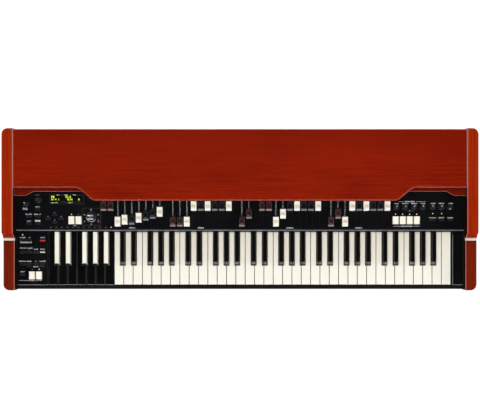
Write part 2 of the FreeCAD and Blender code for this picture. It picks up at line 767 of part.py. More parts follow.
def power_rocker():
    """The power switch: a rocker with a shallow V for its face, tipped to its off side."""
    body = doc.addObject("PartDesign::Body", "rocker_body")
    half = "rocker_height / 2 - rocker_clearance"
    profile = outline(body, "profile", "YZ_Plane", [
        ("-rocker_depth", f"({half}) * 0.6"),
        ("-rocker_depth", f"-({half}) * 0.6"),
        ("rocker_face - 1", f"-({half})"),
        ("rocker_face", f"-({half}) + 1"),
        ("rocker_face - rocker_valley", "0"),
        ("rocker_face", f"({half}) - 1"),
        ("rocker_face - 1", half),
    ])
    pad(body, profile, "rocker_width")
    body.Placement = Placement(Vector(), Rotation(Vector(1, 0, 0), 1))
    body.setExpression("Placement.Rotation.Angle", formula("-rocker_tip"))
    place(body, (f"{ROCKER_X} - rocker_width / 2", ROCKER_TURN, "socket_height"))
    return node("power_switch", body)


# The keys and what carries them

# Each natural with the sharp that notches its left side and the one that notches its right side
NATURALS = [
    ("c", None, "c"),
    ("d", "c", "d"),
    ("e", "d", None),
    ("f", None, "f"),
    ("g", "f", "g"),
    ("a", "g", "a"),
    ("b", "a", None),
]
SHARPS = {"c": 1, "d": 2, "f": 4, "g": 5, "a": 6}


ROD_FIT = "(rod_diameter / 2 + rod_clearance)"


def natural_cuts(left, right):
    """How much the notches take off the left and the right side of a natural."""
    taken_left = f"notch_half + sharp_shift_{left} - key_gap / 2" if left else None
    taken_right = f"notch_half - sharp_shift_{right} - key_gap / 2" if right else None
    return taken_left, taken_right


def natural_key(name, left, right):
    """One natural, drawn from its own left side: notched for its sharps, with a stem slotted for the rod."""
    body = doc.addObject("PartDesign::Body", name + "_natural")
    wide = "key_pitch - key_gap"
    taken_left, taken_right = natural_cuts(left, right)
    low = taken_left or "0"
    high = f"{wide} - ({taken_right})" if taken_right else wide
    middle = f"(({low}) + ({high})) / 2"
    corners = [("0", "key_front"), (wide, "key_front")]
    if taken_right:
        corners += [(wide, "notch_front"), (high, "notch_front")]
    corners += [
        (high, "stem_front"),
        (f"{middle} + key_stem_width / 2", "stem_front"),
        (f"{middle} + key_stem_width / 2", "stem_rear"),
        (f"{middle} - key_stem_width / 2", "stem_rear"),
        (f"{middle} - key_stem_width / 2", "stem_front"),
        (low, "stem_front"),
    ]
    if taken_left:
        corners += [(low, "notch_front"), ("0", "notch_front")]
    solid = pad(body, outline(body, "plan", "XY_Plane", corners, "lip_bottom"), "lip_height")
    hollow = outline(body, "underside", "YZ_Plane", [
        ("key_front + lip_thick", "lip_bottom - 1"),
        ("key_front + lip_thick", "key_top - natural_thick"),
        ("stem_front - 6", "key_top - natural_thick"),
        ("stem_front - 6", "lip_bottom - 1"),
    ])
    pocket(body, hollow, "3 * key_pitch", "underside_cut")
    slot = outline(body, "pivot_slot", "YZ_Plane", [
        (f"pivot_y - {ROD_FIT}", "lip_bottom - 1"),
        (f"pivot_y + {ROD_FIT}", "lip_bottom - 1"),
        (f"pivot_y + {ROD_FIT}", f"pivot_z + {ROD_FIT}"),
        (f"pivot_y - {ROD_FIT}", f"pivot_z + {ROD_FIT}"),
    ])
    slotted = pocket(body, slot, "3 * key_pitch", "pivot_cut")
    doc.recompute()
    front = Vector(size("key_pitch") / 2, size("key_front"), size("key_top"))
    bevel_edges(body, slotted, [front], "lip_bevel")
    return body


def sharp_key():
    """One sharp, drawn about its own middle: a tapered cap on a body whose stem is slotted for the rod."""
    cap = doc.addObject("Part::Wedge", "sharp_cap")
    cap.Placement = Placement(Vector(), Rotation(Vector(1, 0, 0), 90))
    measures = {
        "Xmin": "-sharp_width / 2", "Xmax": "sharp_width / 2",
        "X2min": "-sharp_crown / 2", "X2max": "sharp_crown / 2",
        "Ymin": "0", "Ymax": "sharp_rise + 2",
        "Zmin": "0", "Zmax": "sharp_reach + key_stem_inset",
        "Z2min": "0", "Z2max": "sharp_reach + key_stem_inset - sharp_slope",
    }
    for name, text in measures.items():
        cap.setExpression(name, formula(text))
    place(cap, ("0", "stem_front", "key_top - 2"))
    doc.recompute()
    level = size("key_top") + size("sharp_rise")
    front = size("panel_front") - size("sharp_reach") + size("sharp_slope")
    middle = (front + size("stem_front")) / 2
    crown = size("sharp_crown") / 2
    tops = [Vector(0, front, level), Vector(-crown, middle, level), Vector(crown, middle, level)]
    bevelled = doc.addObject("Part::Chamfer", "sharp_crown_bevel")
    bevelled.Base = cap
    width = size("sharp_bevel")
    bevelled.Edges = [(int(name[4:]), width, width) for name in edges_near(cap.Shape, tops)]
    skirt = box(
        "sharp_body", ("-sharp_width / 2", "panel_front - sharp_reach", "key_top - sharp_skirt"),
        ("sharp_width", "sharp_reach + key_stem_inset", "sharp_skirt - 2"),
    )
    stem = box(
        "sharp_stem", ("-key_stem_width / 2", "stem_front", "lip_bottom"),
        ("key_stem_width", "stem_rear - stem_front", "lip_height - 2"),
    )
    slot = box(
        "sharp_slot", ("-key_stem_width", f"pivot_y - {ROD_FIT}", "lip_bottom - 1"),
        ("2 * key_stem_width", f"2 * {ROD_FIT}", f"pivot_z + {ROD_FIT} - lip_bottom + 1"),
    )
    return cut("sharp", fuse("sharp_solid", [bevelled, skirt, stem]), [slot])


def key_row():
    """Every key: the playing keys grouped by note, and the leftmost octave's preset keys in two groups."""
    sharp = sharp_key()
    presets = {"naturals": [], "sharps": []}
    for index, (name, left, right) in enumerate(NATURALS):
        key = natural_key(name, left, right)
        copies = []
        for octave in range(6):
            x = f"manual_left + {octave} * octave + {index} * key_pitch + key_gap / 2"
            copies.append(copy_at(f"{name}_{octave}", key, (x, "0", "0")))
        presets["naturals"].append(copies.pop(0))
        if name == "c":
            highest = natural_key("high_c", None, None)
            x = "manual_right - key_pitch + key_gap / 2"
            copies.append(copy_at("c_6", highest, (x, "0", "0")))
        node(name + "_keys", group(name + "_group", copies))
    for name, line in SHARPS.items():
        copies = []
        for octave in range(6):
            x = f"manual_left + {octave} * octave + {line} * key_pitch + sharp_shift_{name}"
            copies.append(copy_at(f"{name}_sharp_{octave}", sharp, (x, "0", "0")))
        presets["sharps"].append(copies.pop(0))
        node(name + "_sharp_keys", group(name + "_sharp_group", copies))
    for kind, members in presets.items():
        node("preset_" + kind, group("preset_" + kind + "_group", members))


EAR_PLACES = [f"manual_left + {count} * octave + ear_shift" for count in range(7)]
EAR_PLACES.append("manual_right - ear_shift")


def key_frame():
    """The folded steel frame under the keys, with a slotted ear at each octave to hold the pivot rod."""
    body = doc.addObject("PartDesign::Body", "frame_body")
    s = "sheet_thick"
    folded = outline(body, "profile", "YZ_Plane", [
        ("key_front + shelf_inset", f"shelf_top - {s}"),
        ("key_front + shelf_inset", "shelf_top"),
        ("key_front + shelf_inset + shelf_depth", "shelf_top"),
        (f"key_front + shelf_inset + shelf_depth", f"base_top + {s}"),
        (f"deck_front - {s}", f"base_top + {s}"),
        (f"deck_front - {s}", "deck_top"),
        ("deck_rear", "deck_top"),
        ("deck_rear", "base_top"),
        (f"deck_rear - {s}", "base_top"),
        (f"deck_rear - {s}", f"deck_top - {s}"),
        ("deck_front", f"deck_top - {s}"),
        ("deck_front", "base_top"),
        (f"key_front + shelf_inset + shelf_depth - {s}", "base_top"),
        (f"key_front + shelf_inset + shelf_depth - {s}", f"shelf_top - {s}"),
    ])
    pad(body, folded, "manual_width")
    place(body, ("manual_left", "0", "0"))
    rest = box(
        "tail_rest", ("manual_left", "stem_rear - rest_width", "deck_top - 1"),
        ("manual_width", "rest_width", "lip_bottom - seam - felt_thick - deck_top + 1"),
    )
    ears = [
        box(
            f"ear_{octave}", (f"{x} - {s} / 2", "pivot_y - ear_width / 2", "deck_top - 1"),
            (s, "ear_width", "pivot_z + ear_top - deck_top + 1"),
        )
        for octave, x in enumerate(EAR_PLACES)
    ]
    slot = box(
        "ear_slots", ("manual_left - 10", f"pivot_y - {ROD_FIT}", f"pivot_z - {ROD_FIT}"),
        ("manual_width + 20", f"2 * {ROD_FIT}", "ear_width"),
    )
    return node("key_frame", cut("frame_slotted", fuse("frame_with_ears", [body, rest, *ears]), [slot]))


def pivot_rod():
    """The steel rod that every key turns on."""
    return node("key_pivot_rod", cylinder(
        "rod", ("manual_left - rod_overhang", "pivot_y", "pivot_z"), "rod_diameter / 2",
        "manual_width + 2 * rod_overhang", "x",
    ))


def key_felts():
    """The felts that stop the keys' fronts and carry their tails."""
    front = box(
        "front_felt", ("manual_left", "key_front + felt_inset", "shelf_top"),
        ("manual_width", "felt_width", "felt_thick"),
    )
    tail = box(
        "tail_felt", ("manual_left", "stem_rear - rest_width", "lip_bottom - seam - felt_thick"),
        ("manual_width", "rest_width", "felt_thick"),
    )
    gaps = [
        box(
            f"felt_gap_{octave}",
            (f"{x} - sheet_thick / 2 - seam", "stem_rear - rest_width - 1", "lip_bottom - felt_thick - 1"),
            ("sheet_thick + 2 * seam", "rest_width + 2", "felt_thick + 2"),
        )
        for octave, x in enumerate(EAR_PLACES)
    ]
    return node("key_felt", group("felts", [front, cut("tail_felt_cut", tail, gaps)]))


def block_shell(side, left, right):
    """A hollow black block beside the keys, open below."""
    outer = box(
        side + "_block_outer", (left, "key_front", "base_top"),
        (f"({right}) - ({left})", "panel_front - key_front - block_gap", "block_top - base_top"),
    )
    inner = box(
        side + "_block_inner", (f"{left} + block_wall", "key_front + block_wall", "base_top - 1"),
        (f"({right}) - ({left}) - 2 * block_wall", "panel_front - key_front - block_gap - 2 * block_wall",
         "block_top - base_top - block_wall + 1"),
    )
    return cut(side + "_block_shell", outer, [inner])


# Controls on the left key block: places from its left end and from the key fronts

BLOCK_COLUMNS = [15.6, 32.3, 49, 65.6]
BLOCK_ROWS = {111.9: (0, 1, 3), 82.9: (0, 1, 2, 3), 52.6: (0, 1, 2, 3), 26.8: (0,)}
BLOCK_LAMP_LIFT = 14.7
BLOCK_TABS_LEFT = 31.8
BLOCK_TABS_FRONT = 14.7


def block_buttons():
    """Places of the small buttons on the left key block."""
    return [
        (f"inner_left + {BLOCK_COLUMNS[column]}", f"key_front + {row}")
        for row, columns in BLOCK_ROWS.items()
        for column in columns
    ]


def key_blocks():
    """The left block, pierced for its buttons and tabs, and the plain right one."""
    left = block_shell("left", "inner_left + seam", "manual_left - left_key_gap")
    holes = [
        button_hole(f"block_button_hole_{i}", x, y, "block_top")
        for i, (x, y) in enumerate(block_buttons())
    ]
    holes.append(tab_window("block_tab_window", f"inner_left + {BLOCK_TABS_LEFT}", 2,
                            f"key_front + {BLOCK_TABS_FRONT}", "block_top"))
    right = block_shell("right", "manual_right + right_key_gap", "inner_right - seam")
    return node("key_blocks", group("blocks", [cut("left_block_pierced", left, holes), right]))


def button_hole(name, x, y, face):
    return box(
        name,
        (f"{x} - button_width / 2 - button_clearance", f"{y} - button_depth / 2 - button_clearance",
         f"{face} - 2 * block_wall"),
        ("button_width + 2 * button_clearance", "button_depth + 2 * button_clearance", "3 * block_wall"),
    )


def button(name, x, y, face):
    return box(
        name, (f"{x} - button_width / 2", f"{y} - button_depth / 2", f"{face} - button_tail"),
        ("button_width", "button_depth", "button_tail + button_proud"),
    )


def tab_window(name, left, count, front, face):
    """The opening that a row of tab switches stands in."""
    return box(
        name,
        (f"{left} - tab_clearance", f"{front} - tab_clearance", f"{face} - 2 * block_wall"),
        (f"{count} * tab_pitch - tab_gap + 2 * tab_clearance", "tab_length + 2 * tab_clearance",
         "3 * block_wall"),
    )


def tab_row(name, left, count, front, face):
    """A row of tab switches, each hollowed on top for a finger."""
    tabs = []
    for i in range(count):
        x = f"{left} + {i} * tab_pitch"
        blank = box(
            f"{name}_blank_{i}", (x, front, f"{face} - tab_tail"),
            ("tab_width", "tab_length", "tab_tail + tab_proud"),
        )
        hollow = cylinder(
            f"{name}_hollow_{i}",
            (f"{x} - 1", f"{front} + tab_length / 2",
             f"{face} + tab_proud + tab_hollow_radius - tab_hollow_depth"),
            "tab_hollow_radius", "tab_width + 2", "x",
        )
        tabs.append(cut(f"{name}_{i}", blank, [hollow]))
    return group(name, tabs)


# Controls on the sloping panel: places from the nearer end block and up the slope

LEFT_BUTTONS = [(56.3, 53.7), (34.4, 35.8), (56.3, 35.8), (34.4, 18), (56.3, 18)]
CURSOR_BUTTONS = [(98.7, 40), (82.2, 29.9), (115.2, 29.9), (98.7, 20.7)]
RIGHT_BUTTONS = [(80.6, 26.7), (58.3, 26.7), (36.1, 26.7)]

# Each knob with its skirt's diameter, its place and the end block that it is measured from
KNOBS = [
    ("volume_knob", 14, "inner_left + 28.4", 67.2),
    ("value_knob", 17, "inner_left + 59.1", 77),
    ("vibrato_knob", 23, "inner_left + 189.7", 34.3),
    ("bass_knob", 15, "inner_right - 172.3", 58.7),
    ("middle_knob", 15, "inner_right - 150.3", 58.7),
    ("treble_knob", 15, "inner_right - 128.3", 58.7),
    ("tone_knob", 15, "inner_right - 106.3", 58.7),
    ("drive_knob", 15, "inner_right - 82.2", 58.7),
    ("effect_knob", 15, "inner_right - 60.3", 58.7),
    ("reverb_knob", 15, "inner_right - 38.6", 58.7),
]

VIBRATO_TABS_LEFT = 133.2
PERCUSSION_TABS_LEFT = 180.8
PANEL_TABS_FRONT = 16.1
PRESET_LAMPS_UP = 7.9
TAB_LAMPS_UP = 42.5

# Drawbars in each set, and the number that each stands at
SETS = [
    ("upper_a", (0, 0, 8, 7, 7, 6, 5, 4, 3)),
    ("upper_b", (8, 8, 8, 0, 0, 0, 0, 0, 0)),
    ("pedal", (8, 4)),
    ("lower_a", (0, 0, 8, 4, 0, 0, 0, 0, 0)),
    ("lower_b", (8, 4, 8, 0, 0, 0, 0, 0, 0)),
]


def set_starts():
    """The expression for the first drawbar's place in each set."""
    starts, passed = [], 0
    for i, (name, bars) in enumerate(SETS):
        starts.append(f"bars_left + {passed} * bar_pitch + {i} * set_gap")
        passed += len(bars) - 1
    return starts


def panel_buttons():
    left = [(f"inner_left + {x}", str(y)) for x, y in LEFT_BUTTONS + CURSOR_BUTTONS]
    right = [(f"inner_right - {x}", str(y)) for x, y in RIGHT_BUTTONS]
    return left + right


def control_panel():
    """The black panel, pierced for every stem, shaft, button, tab and the display."""
    sheet = box(
        "panel_sheet", ("inner_left + seam", "0", "-panel_thick"),
        ("inner_width - 2 * seam", "panel_length", "panel_thick"),
    )
    lip = box(
        "panel_front_lip", ("inner_left + seam", "-panel_lip", "-panel_thick"),
        ("inner_width - 2 * seam", "panel_lip + 1", "panel_thick - panel_lip_drop"),
    )
    plate = fuse("panel_blank", [sheet, lip])
    holes = []
    slot_front = "bar_in - 8 * bar_step + bar_stem_inset - 1"
    for (name, bars), start in zip(SETS, set_starts()):
        for i in range(len(bars)):
            x = f"{start} + {i} * bar_pitch - bar_stem_width / 2 - slide_clearance"
            holes.append(box(
                f"{name}_slot_{i}", (x, slot_front, "-panel_thick - 1"),
                ("bar_stem_width + 2 * slide_clearance", f"panel_length - ({slot_front}) + 1",
                 "panel_thick + 2"),
            ))
    for name, width, x, y in KNOBS:
        holes.append(prism(
            name + "_hole", (x, str(y), "-panel_thick - 1"),
            "shaft_diameter / 2 + shaft_clearance", "panel_thick + 2", 8,
        ))
    for i, (x, y) in enumerate(panel_buttons()):
        holes.append(button_hole(f"panel_button_hole_{i}", x, y, "0"))
    holes.append(tab_window(
        "vibrato_window", f"inner_left + {VIBRATO_TABS_LEFT}", 2, str(PANEL_TABS_FRONT), "0"))
    holes.append(tab_window(
        "percussion_window", f"inner_right - {PERCUSSION_TABS_LEFT}", 4, str(PANEL_TABS_FRONT), "0"))
    holes.append(box(
        "display_hole", ("inner_left + display_left - seam", "display_reach - seam", "-panel_thick - 1"),
        ("display_width + 2 * seam", "display_depth + 2 * seam", "panel_thick + 2"),
    ))
    return node("control_panel", lay_on_slope(cut("panel_pierced", plate, holes)))


def display_unit():
    """The display: a window flush in the panel with a thin flange on top."""
    flange = box(
        "display_flange_plate",
        ("inner_left + display_left - display_flange", "display_reach - display_flange", "0"),
        ("display_width + 2 * display_flange", "display_depth + 2 * display_flange", "display_proud"),
    )
    tail = box(
        "display_body", ("inner_left + display_left", "display_reach", "-display_tail"),
        ("display_width", "display_depth", "display_tail + display_proud / 2"),
    )
    return node("display_unit", lay_on_slope(fuse("display_solid", [flange, tail])))


def lamps():
    """The indicator lamps on the panel and on the left key block."""
    preset = [(f"manual_left + {i + 0.55} * octave / 12", str(PRESET_LAMPS_UP)) for i in range(12)]
    vibrato = [
        (f"inner_left + {VIBRATO_TABS_LEFT} + {i} * tab_pitch + tab_width / 2", str(TAB_LAMPS_UP))
        for i in (0, 1)
    ]
    percussion = [
        (f"inner_right - {PERCUSSION_TABS_LEFT} + {i} * tab_pitch + tab_width / 2", str(TAB_LAMPS_UP))
        for i in range(4)
    ]
    right = [(f"inner_right - {x}", str(TAB_LAMPS_UP)) for x, y in RIGHT_BUTTONS]
    sloped = [
        prism(f"lamp_{i}", (x, y, "0"), "lamp_diameter / 2", "lamp_proud", 6)
        for i, (x, y) in enumerate(preset + vibrato + percussion + right)
    ]
    on_slope = lay_on_slope(group("sloped_lamps", sloped))
    above_buttons = [(x, f"{y} + {BLOCK_LAMP_LIFT}") for x, y in block_buttons()]
    above_tabs = [
        (f"inner_left + {BLOCK_TABS_LEFT} + {i} * tab_pitch + tab_width / 2",
         f"key_front + {BLOCK_TABS_FRONT} + tab_length + tab_lamp_gap")
        for i in (0, 1)
    ]
    level = [
        prism(f"block_lamp_{i}", (x, y, "block_top"), "lamp_diameter / 2", "lamp_proud", 6)
        for i, (x, y) in enumerate(above_buttons + above_tabs)
    ]
    return node("indicator_lamps", group("all_lamps", [on_slope, *level]))


def rotary_knob(name, width, x, y):
    """A knob: round skirt, many-sided grip with a pointer groove, and a shaft through the panel."""
    foot = "rotary_lift + rotary_skirt"
    grip_radius = f"{width / 2} * rotary_grip"
    parts = [
        prism(name + "_skirt", (x, str(y), "rotary_lift"), str(width / 2), "rotary_skirt", 20),
        prism(name + "_grip", (x, str(y), "rotary_lift + 1"), grip_radius,
              "rotary_skirt + rotary_height - 1", 10),
        prism(name + "_shaft", (x, str(y), "seam - board_drop"), "shaft_diameter / 2",
              "board_drop + rotary_lift + 1 - seam", 6),
    ]
    groove = box(
        name + "_groove",
        (f"{x} - 0.6", str(y), f"{foot} + rotary_height - 1"), ("1.2", str(width / 2), "2"),
    )
    return node(name, lay_on_slope(cut(name + "_cut", fuse(name + "_solid", parts), [groove])))


def drawbar(name, x, number):
    """A knob with a hollowed top on a flat stem, pulled out to its number."""
    front = f"bar_in - {number} * bar_step"
    blank = box(
        name + "_blank", (f"{x} - knob_width / 2", front, "stem_proud"),
        ("knob_width", "bar_knob_length", "bar_knob_height"),
    )
    top = "stem_proud + bar_knob_height"
    scoop = cylinder(
        name + "_scoop",
        (f"{x} - knob_width", f"{front} + bar_scoop_middle",
         f"{top} + bar_scoop_radius - bar_scoop_depth"),
        "bar_scoop_radius", "2 * knob_width", "x",
    )
    slope = doc.addObject("Part::Wedge", name + "_slope")
    slope.Placement = Placement(Vector(), Rotation(Vector(1, 0, 0), 90))
    for prop, text in {
        "Xmin": "-knob_width", "Xmax": "knob_width", "X2min": "-knob_width", "X2max": "knob_width",
        "Ymin": "0", "Ymax": "bar_nose", "Zmin": "0", "Zmax": "0.01", "Z2min": "-bar_nose", "Z2max": "0.01",
    }.items():
        slope.setExpression(prop, formula(text))
    place(slope, (x, front, f"{top} - bar_nose"))
    knob = cut(name + "_knob", blank, [scoop, slope])
    stem = box(
        name + "_stem",
        (f"{x} - bar_stem_width / 2", f"{front} + bar_stem_inset", "stem_proud - bar_stem_depth"),
        ("bar_stem_width", "bar_stem_length", "bar_stem_depth"),
    )
    return [knob, stem]


def drawbars():
    """Every drawbar: those that stand at the same number share a sub-part, so each has its whole travel."""
    standing = {}
    for (name, bars), start in zip(SETS, set_starts()):
        for i, number in enumerate(bars):
            pieces = drawbar(f"{name}_{i}", f"{start} + {i} * bar_pitch", number)
            standing.setdefault(number, []).extend(pieces)
    for number, pieces in sorted(standing.items()):
        node(f"drawbars_at_{number}", lay_on_slope(group(f"at_{number}", pieces)))


def drawbar_housings():
    """The grooved blocks under the panel that guide the drawbar stems, one to a set."""
    blocks = []
    for (name, bars), start in zip(SETS, set_starts()):
        margin = "bar_stem_width / 2 + slide_clearance + housing_wall"
        blank = box(
            name + "_housing_blank",
            (f"{start} - ({margin})", "housing_front", "-panel_thick - housing_depth"),
            (f"{len(bars) - 1} * bar_pitch + 2 * ({margin})", "housing_length", "housing_depth"),
        )
        depth = "bar_stem_depth - stem_proud + slide_clearance"
        grooves = [
            box(
                f"{name}_groove_{i}",
                (f"{start} + {i} * bar_pitch - bar_stem_width / 2 - slide_clearance", "housing_front - 1",
                 f"-({depth})"),
                ("bar_stem_width + 2 * slide_clearance", "housing_length + 2", depth),
            )
            for i in range(len(bars))
        ]
        blocks.append(cut(name + "_housing", blank, grooves))
    return node("drawbar_housings", lay_on_slope(group("housings", blocks)))


def control_board(side, left, length):
    """A board under the side controls, hung from the panel on square spacers."""
    sheet = box(
        side + "_control_sheet", (left, "board_front", "-board_drop - board_thick"),
        (length, "board_width", "board_thick"),
    )
    spacers = [
        box(
            f"{side}_spacer_{i}", (x, y, "-board_drop"),
            ("spacer_side", "spacer_side", "board_drop - panel_thick"),
        )
        for i, (x, y) in enumerate(
            (x, y)
            for x in (left, f"{left} + {length} - spacer_side")
            for y in ("spacer_front", "board_front + board_width - spacer_side")
        )
    ]
    return fuse(side + "_control_board", [sheet, *spacers])


def circuit_boards():
    """The main board, the power supply, the key contact board and the boards under the side controls."""
    main = box(
        "main_board", ("-main_board_length / 2", "main_board_front", "base_top + boss_height"),
        ("main_board_length", "main_board_width", "board_thick"),
    )
    supply = box(
        "power_supply", ("inner_left + supply_gap", "main_board_front", "base_top"),
        ("supply_length", "supply_width", "supply_height"),
    )
    contacts = box(
        "contact_sheet", ("manual_left + 2", "deck_front + contact_inset", "deck_top"),
        ("manual_width - 4", "contact_width", "board_thick"),
    )
    strip = box(
        "contact_strip", ("manual_left + 2", "stem_front", "deck_top + board_thick"),
        ("manual_width - 4", "strip_width - contact_inset", "strip_height"),
    )
    sloped = lay_on_slope(group("control_boards", [
        control_board("left", "inner_left + board_gap", "left_board_length"),
        control_board("right", "inner_right - board_gap - right_board_length", "right_board_length"),
    ]))
    key_contacts = fuse("contact_board", [contacts, strip])
    return node("circuit_boards", group("boards", [main, supply, key_contacts, sloped]))


def build():
    """Makes every sub-part."""
    end_block("left", "-case_width / 2")
    end_block("right", "inner_right")
    cheek("left", "-case_width / 2")
    cheek("right", "inner_right")
    trim_bars()
    lid()
    strips = [fascia("left", -1, "inner_left"), fascia("right", 1, "inner_right")]
    node("lid_fascias", group("fascias", strips))
    base_board()
    feet()
    screws()
    front_rail()
    rear_board()
    jack_plate()
    rear_sockets()
    power_rocker()
    key_row()
    key_frame()
    pivot_rod()
    key_felts()
    key_blocks()
    control_panel()
    display_unit()
    lamps()
    drawbars()
    drawbar_housings()
    circuit_boards()
    for name, width, x, y in KNOBS:
        rotary_knob(name, width, x, y)
    node("vibrato_tabs", lay_on_slope(
        tab_row("vibrato", f"inner_left + {VIBRATO_TABS_LEFT}", 2, str(PANEL_TABS_FRONT), "0")))
    node("percussion_tabs", lay_on_slope(
        tab_row("percussion", f"inner_right - {PERCUSSION_TABS_LEFT}", 4, str(PANEL_TABS_FRONT), "0")))
    node("rotary_tabs", tab_row(
        "rotary", f"inner_left + {BLOCK_TABS_LEFT}", 2, f"key_front + {BLOCK_TABS_FRONT}", "block_top"))
    node("panel_buttons", lay_on_slope(group("panel_button_group", [
        button(f"panel_button_{i}", x, y, "0") for i, (x, y) in enumerate(panel_buttons())
    ])))
    node("block_buttons", group("block_button_group", [
        button(f"block_button_{i}", x, y, "block_top") for i, (x, y) in enumerate(block_buttons())
    ]))


def check():
    """Stops if any object failed to build or any sub-part isn't made of sound solids."""
    for thing in doc.Objects:
        if "Invalid" in thing.State or "Error" in thing.State:
            raise RuntimeError(f"{thing.Label} failed: {thing.State}")
    for name, thing in NODES.items():
        shape = thing.Shape
        if shape.isNull() or not shape.isValid() or not shape.Solids:
            raise RuntimeError(f"{name} has no sound solid")


def write():
    """Writes each sub-part under its label."""
    os.makedirs("parts", exist_ok=True)
    for name, thing in NODES.items():
        thing.Shape.exportStep(f"parts/{name}.step")


build()
doc.recompute()
check()
write()
overall = " x ".join(f"{size(name):.1f}" for name in ("case_width", "case_depth", "case_height"))
print(f"{len(NODES)} sub-parts, {overall} mm")
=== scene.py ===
import functools
import math

import bmesh
import bpy
from mathutils import Matrix, Vector


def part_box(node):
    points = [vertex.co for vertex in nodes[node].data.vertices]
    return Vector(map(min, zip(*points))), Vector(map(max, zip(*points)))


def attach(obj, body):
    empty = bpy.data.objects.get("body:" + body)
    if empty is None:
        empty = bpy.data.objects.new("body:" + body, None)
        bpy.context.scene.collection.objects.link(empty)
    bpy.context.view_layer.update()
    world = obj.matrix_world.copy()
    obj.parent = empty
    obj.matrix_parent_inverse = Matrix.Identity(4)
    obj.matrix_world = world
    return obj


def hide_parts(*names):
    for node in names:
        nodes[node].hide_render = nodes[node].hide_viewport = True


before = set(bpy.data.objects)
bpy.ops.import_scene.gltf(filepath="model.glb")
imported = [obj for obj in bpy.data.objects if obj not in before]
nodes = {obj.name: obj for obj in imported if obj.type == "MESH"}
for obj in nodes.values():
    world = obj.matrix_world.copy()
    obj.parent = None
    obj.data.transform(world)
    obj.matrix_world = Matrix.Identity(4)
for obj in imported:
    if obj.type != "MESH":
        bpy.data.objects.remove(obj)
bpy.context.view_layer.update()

# Sizes in millimetres, read off the frame where it has them

MM = 0.001


def low(node):
    """Lowest corner of a node, in millimetres."""
    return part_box(node)[0] / MM


def high(node):
    """Highest corner of a node, in millimetres."""
    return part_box(node)[1] / MM


inner_left = high("left_end_block").x
inner_right = low("right_end_block").x
key_front = low("c_keys").y
sharp_front = low("c_sharp_keys").y
block_top = high("key_blocks").z
plate_face = high("jack_plate").y
key_pitch = 23.5
preset_count = 7
natural_count = 43
octave = 7 * key_pitch
manual_left = low("preset_naturals").x - 0.55
manual_right = manual_left + natural_count * key_pitch
panel_tilt = math.radians(5)
panel_thick = 2
panel_lip = 3.6
panel_front = low("control_panel").y + panel_lip * math.cos(panel_tilt) - math.sin(panel_tilt)
panel_height = (
    low("control_panel").z + panel_thick * math.cos(panel_tilt) + panel_lip * math.sin(panel_tilt)
)
socket_height = 70
socket_pitch = 38
inlet_place = 350.0
rocker_place = 289.2

# Drawbars: the first bar of each set, the place of every bar in it and the colours of its knobs
bars_left = inner_left + 221.9
bars_right = inner_right - 195.1
set_gap = 32.5
bar_pitch = (bars_right - bars_left - 4 * set_gap) / 33
bar_step = 4.92
bar_in = 49.7
stem_length = 84
NINE = ("brown", "brown", "white", "white", "black", "white", "black", "black", "white")
SETS = []
for gap, places, colours in (
    (0, (0, 0, 8, 7, 7, 6, 5, 4, 3), NINE),
    (set_gap, (8, 8, 8, 0, 0, 0, 0, 0, 0), NINE),
    (set_gap, (8, 4), ("brown", "brown")),
    (set_gap, (0, 0, 8, 4, 0, 0, 0, 0, 0), NINE),
    (set_gap, (8, 4, 8, 0, 0, 0, 0, 0, 0), NINE),
):
    first = SETS[-1][0] + (len(SETS[-1][1]) - 1) * bar_pitch + gap if SETS else bars_left
    SETS.append((first, places, colours))

# Rotary knobs: skirt diameter, place along the case, place up the panel and turn of the pointer in degrees
KNOBS = {
    "volume_knob": (14, inner_left + 28.4, 67.2, 28),
    "value_knob": (17, inner_left + 59.1, 77, None),
    "vibrato_knob": (23, inner_left + 189.7, 34.3, None),
    "bass_knob": (15, inner_right - 172.3, 58.7, 0),
    "middle_knob": (15, inner_right - 150.3, 58.7, 0),
    "treble_knob": (15, inner_right - 128.3, 58.7, 0),
    "tone_knob": (15, inner_right - 106.3, 58.7, 0),
    "drive_knob": (15, inner_right - 82.2, 58.7, 0),
    "effect_knob": (15, inner_right - 60.3, 58.7, 0),
    "reverb_knob": (15, inner_right - 38.6, 58.7, 150),
}
LEFT_BUTTONS = ((56.3, 53.7), (34.4, 35.8), (56.3, 35.8), (34.4, 18), (56.3, 18))
CURSOR_BUTTONS = ((98.7, 40), (82.2, 29.9), (115.2, 29.9), (98.7, 20.7))
RIGHT_BUTTONS = ((80.6, 26.7), (58.3, 26.7), (36.1, 26.7))
BLOCK_COLUMNS = (15.6, 32.3, 49, 65.6)
BLOCK_ROWS = ((111.9, (0, 1, 3)), (82.9, (0, 1, 2, 3)), (52.6, (0, 1, 2, 3)), (26.8, (0,)))
tab_pitch = 17.6
tab_size = (15.2, 18.8)
tab_front = 16.1
# How far printed words lie above a face, and above the glass of the display
ink_lift = 0.05
glass_lift = 0.45
# The display's window: left, right, front and rear
window = (inner_left + 88.5, inner_left + 170.5, 68, 88)


# Benches: millimetres drawn flat, with Y away from the player and Z out of the face

def bench(y, z, tilt=0.0):
    """From millimetres on a face to metres in the frame."""
    return Matrix.Translation(Vector((0, y, z)) * MM) @ Matrix.Rotation(tilt, 4, "X") @ Matrix.Scale(MM, 4)


TABLE = bench(0, 0)
PANEL = bench(panel_front, panel_height, panel_tilt)
BLOCK = bench(key_front, block_top)
TO_REAR = Matrix(((-1, 0, 0, 0), (0, 0, 1, 0), (0, 1, 0, 0), (0, 0, 0, 1))) @ Matrix.Scale(MM, 4)
REAR = Matrix.Translation((0, plate_face * MM, 0)) @ TO_REAR
# Rows of tab switches: their node, left edge, front edge, number and bench
TABS = {
    "vibrato_tabs": (inner_left + 133.2, tab_front, 2, PANEL),
    "percussion_tabs": (inner_right - 180.8, tab_front, 4, PANEL),
    "rotary_tabs": (inner_left + 31.8, 14.7, 2, BLOCK),
}


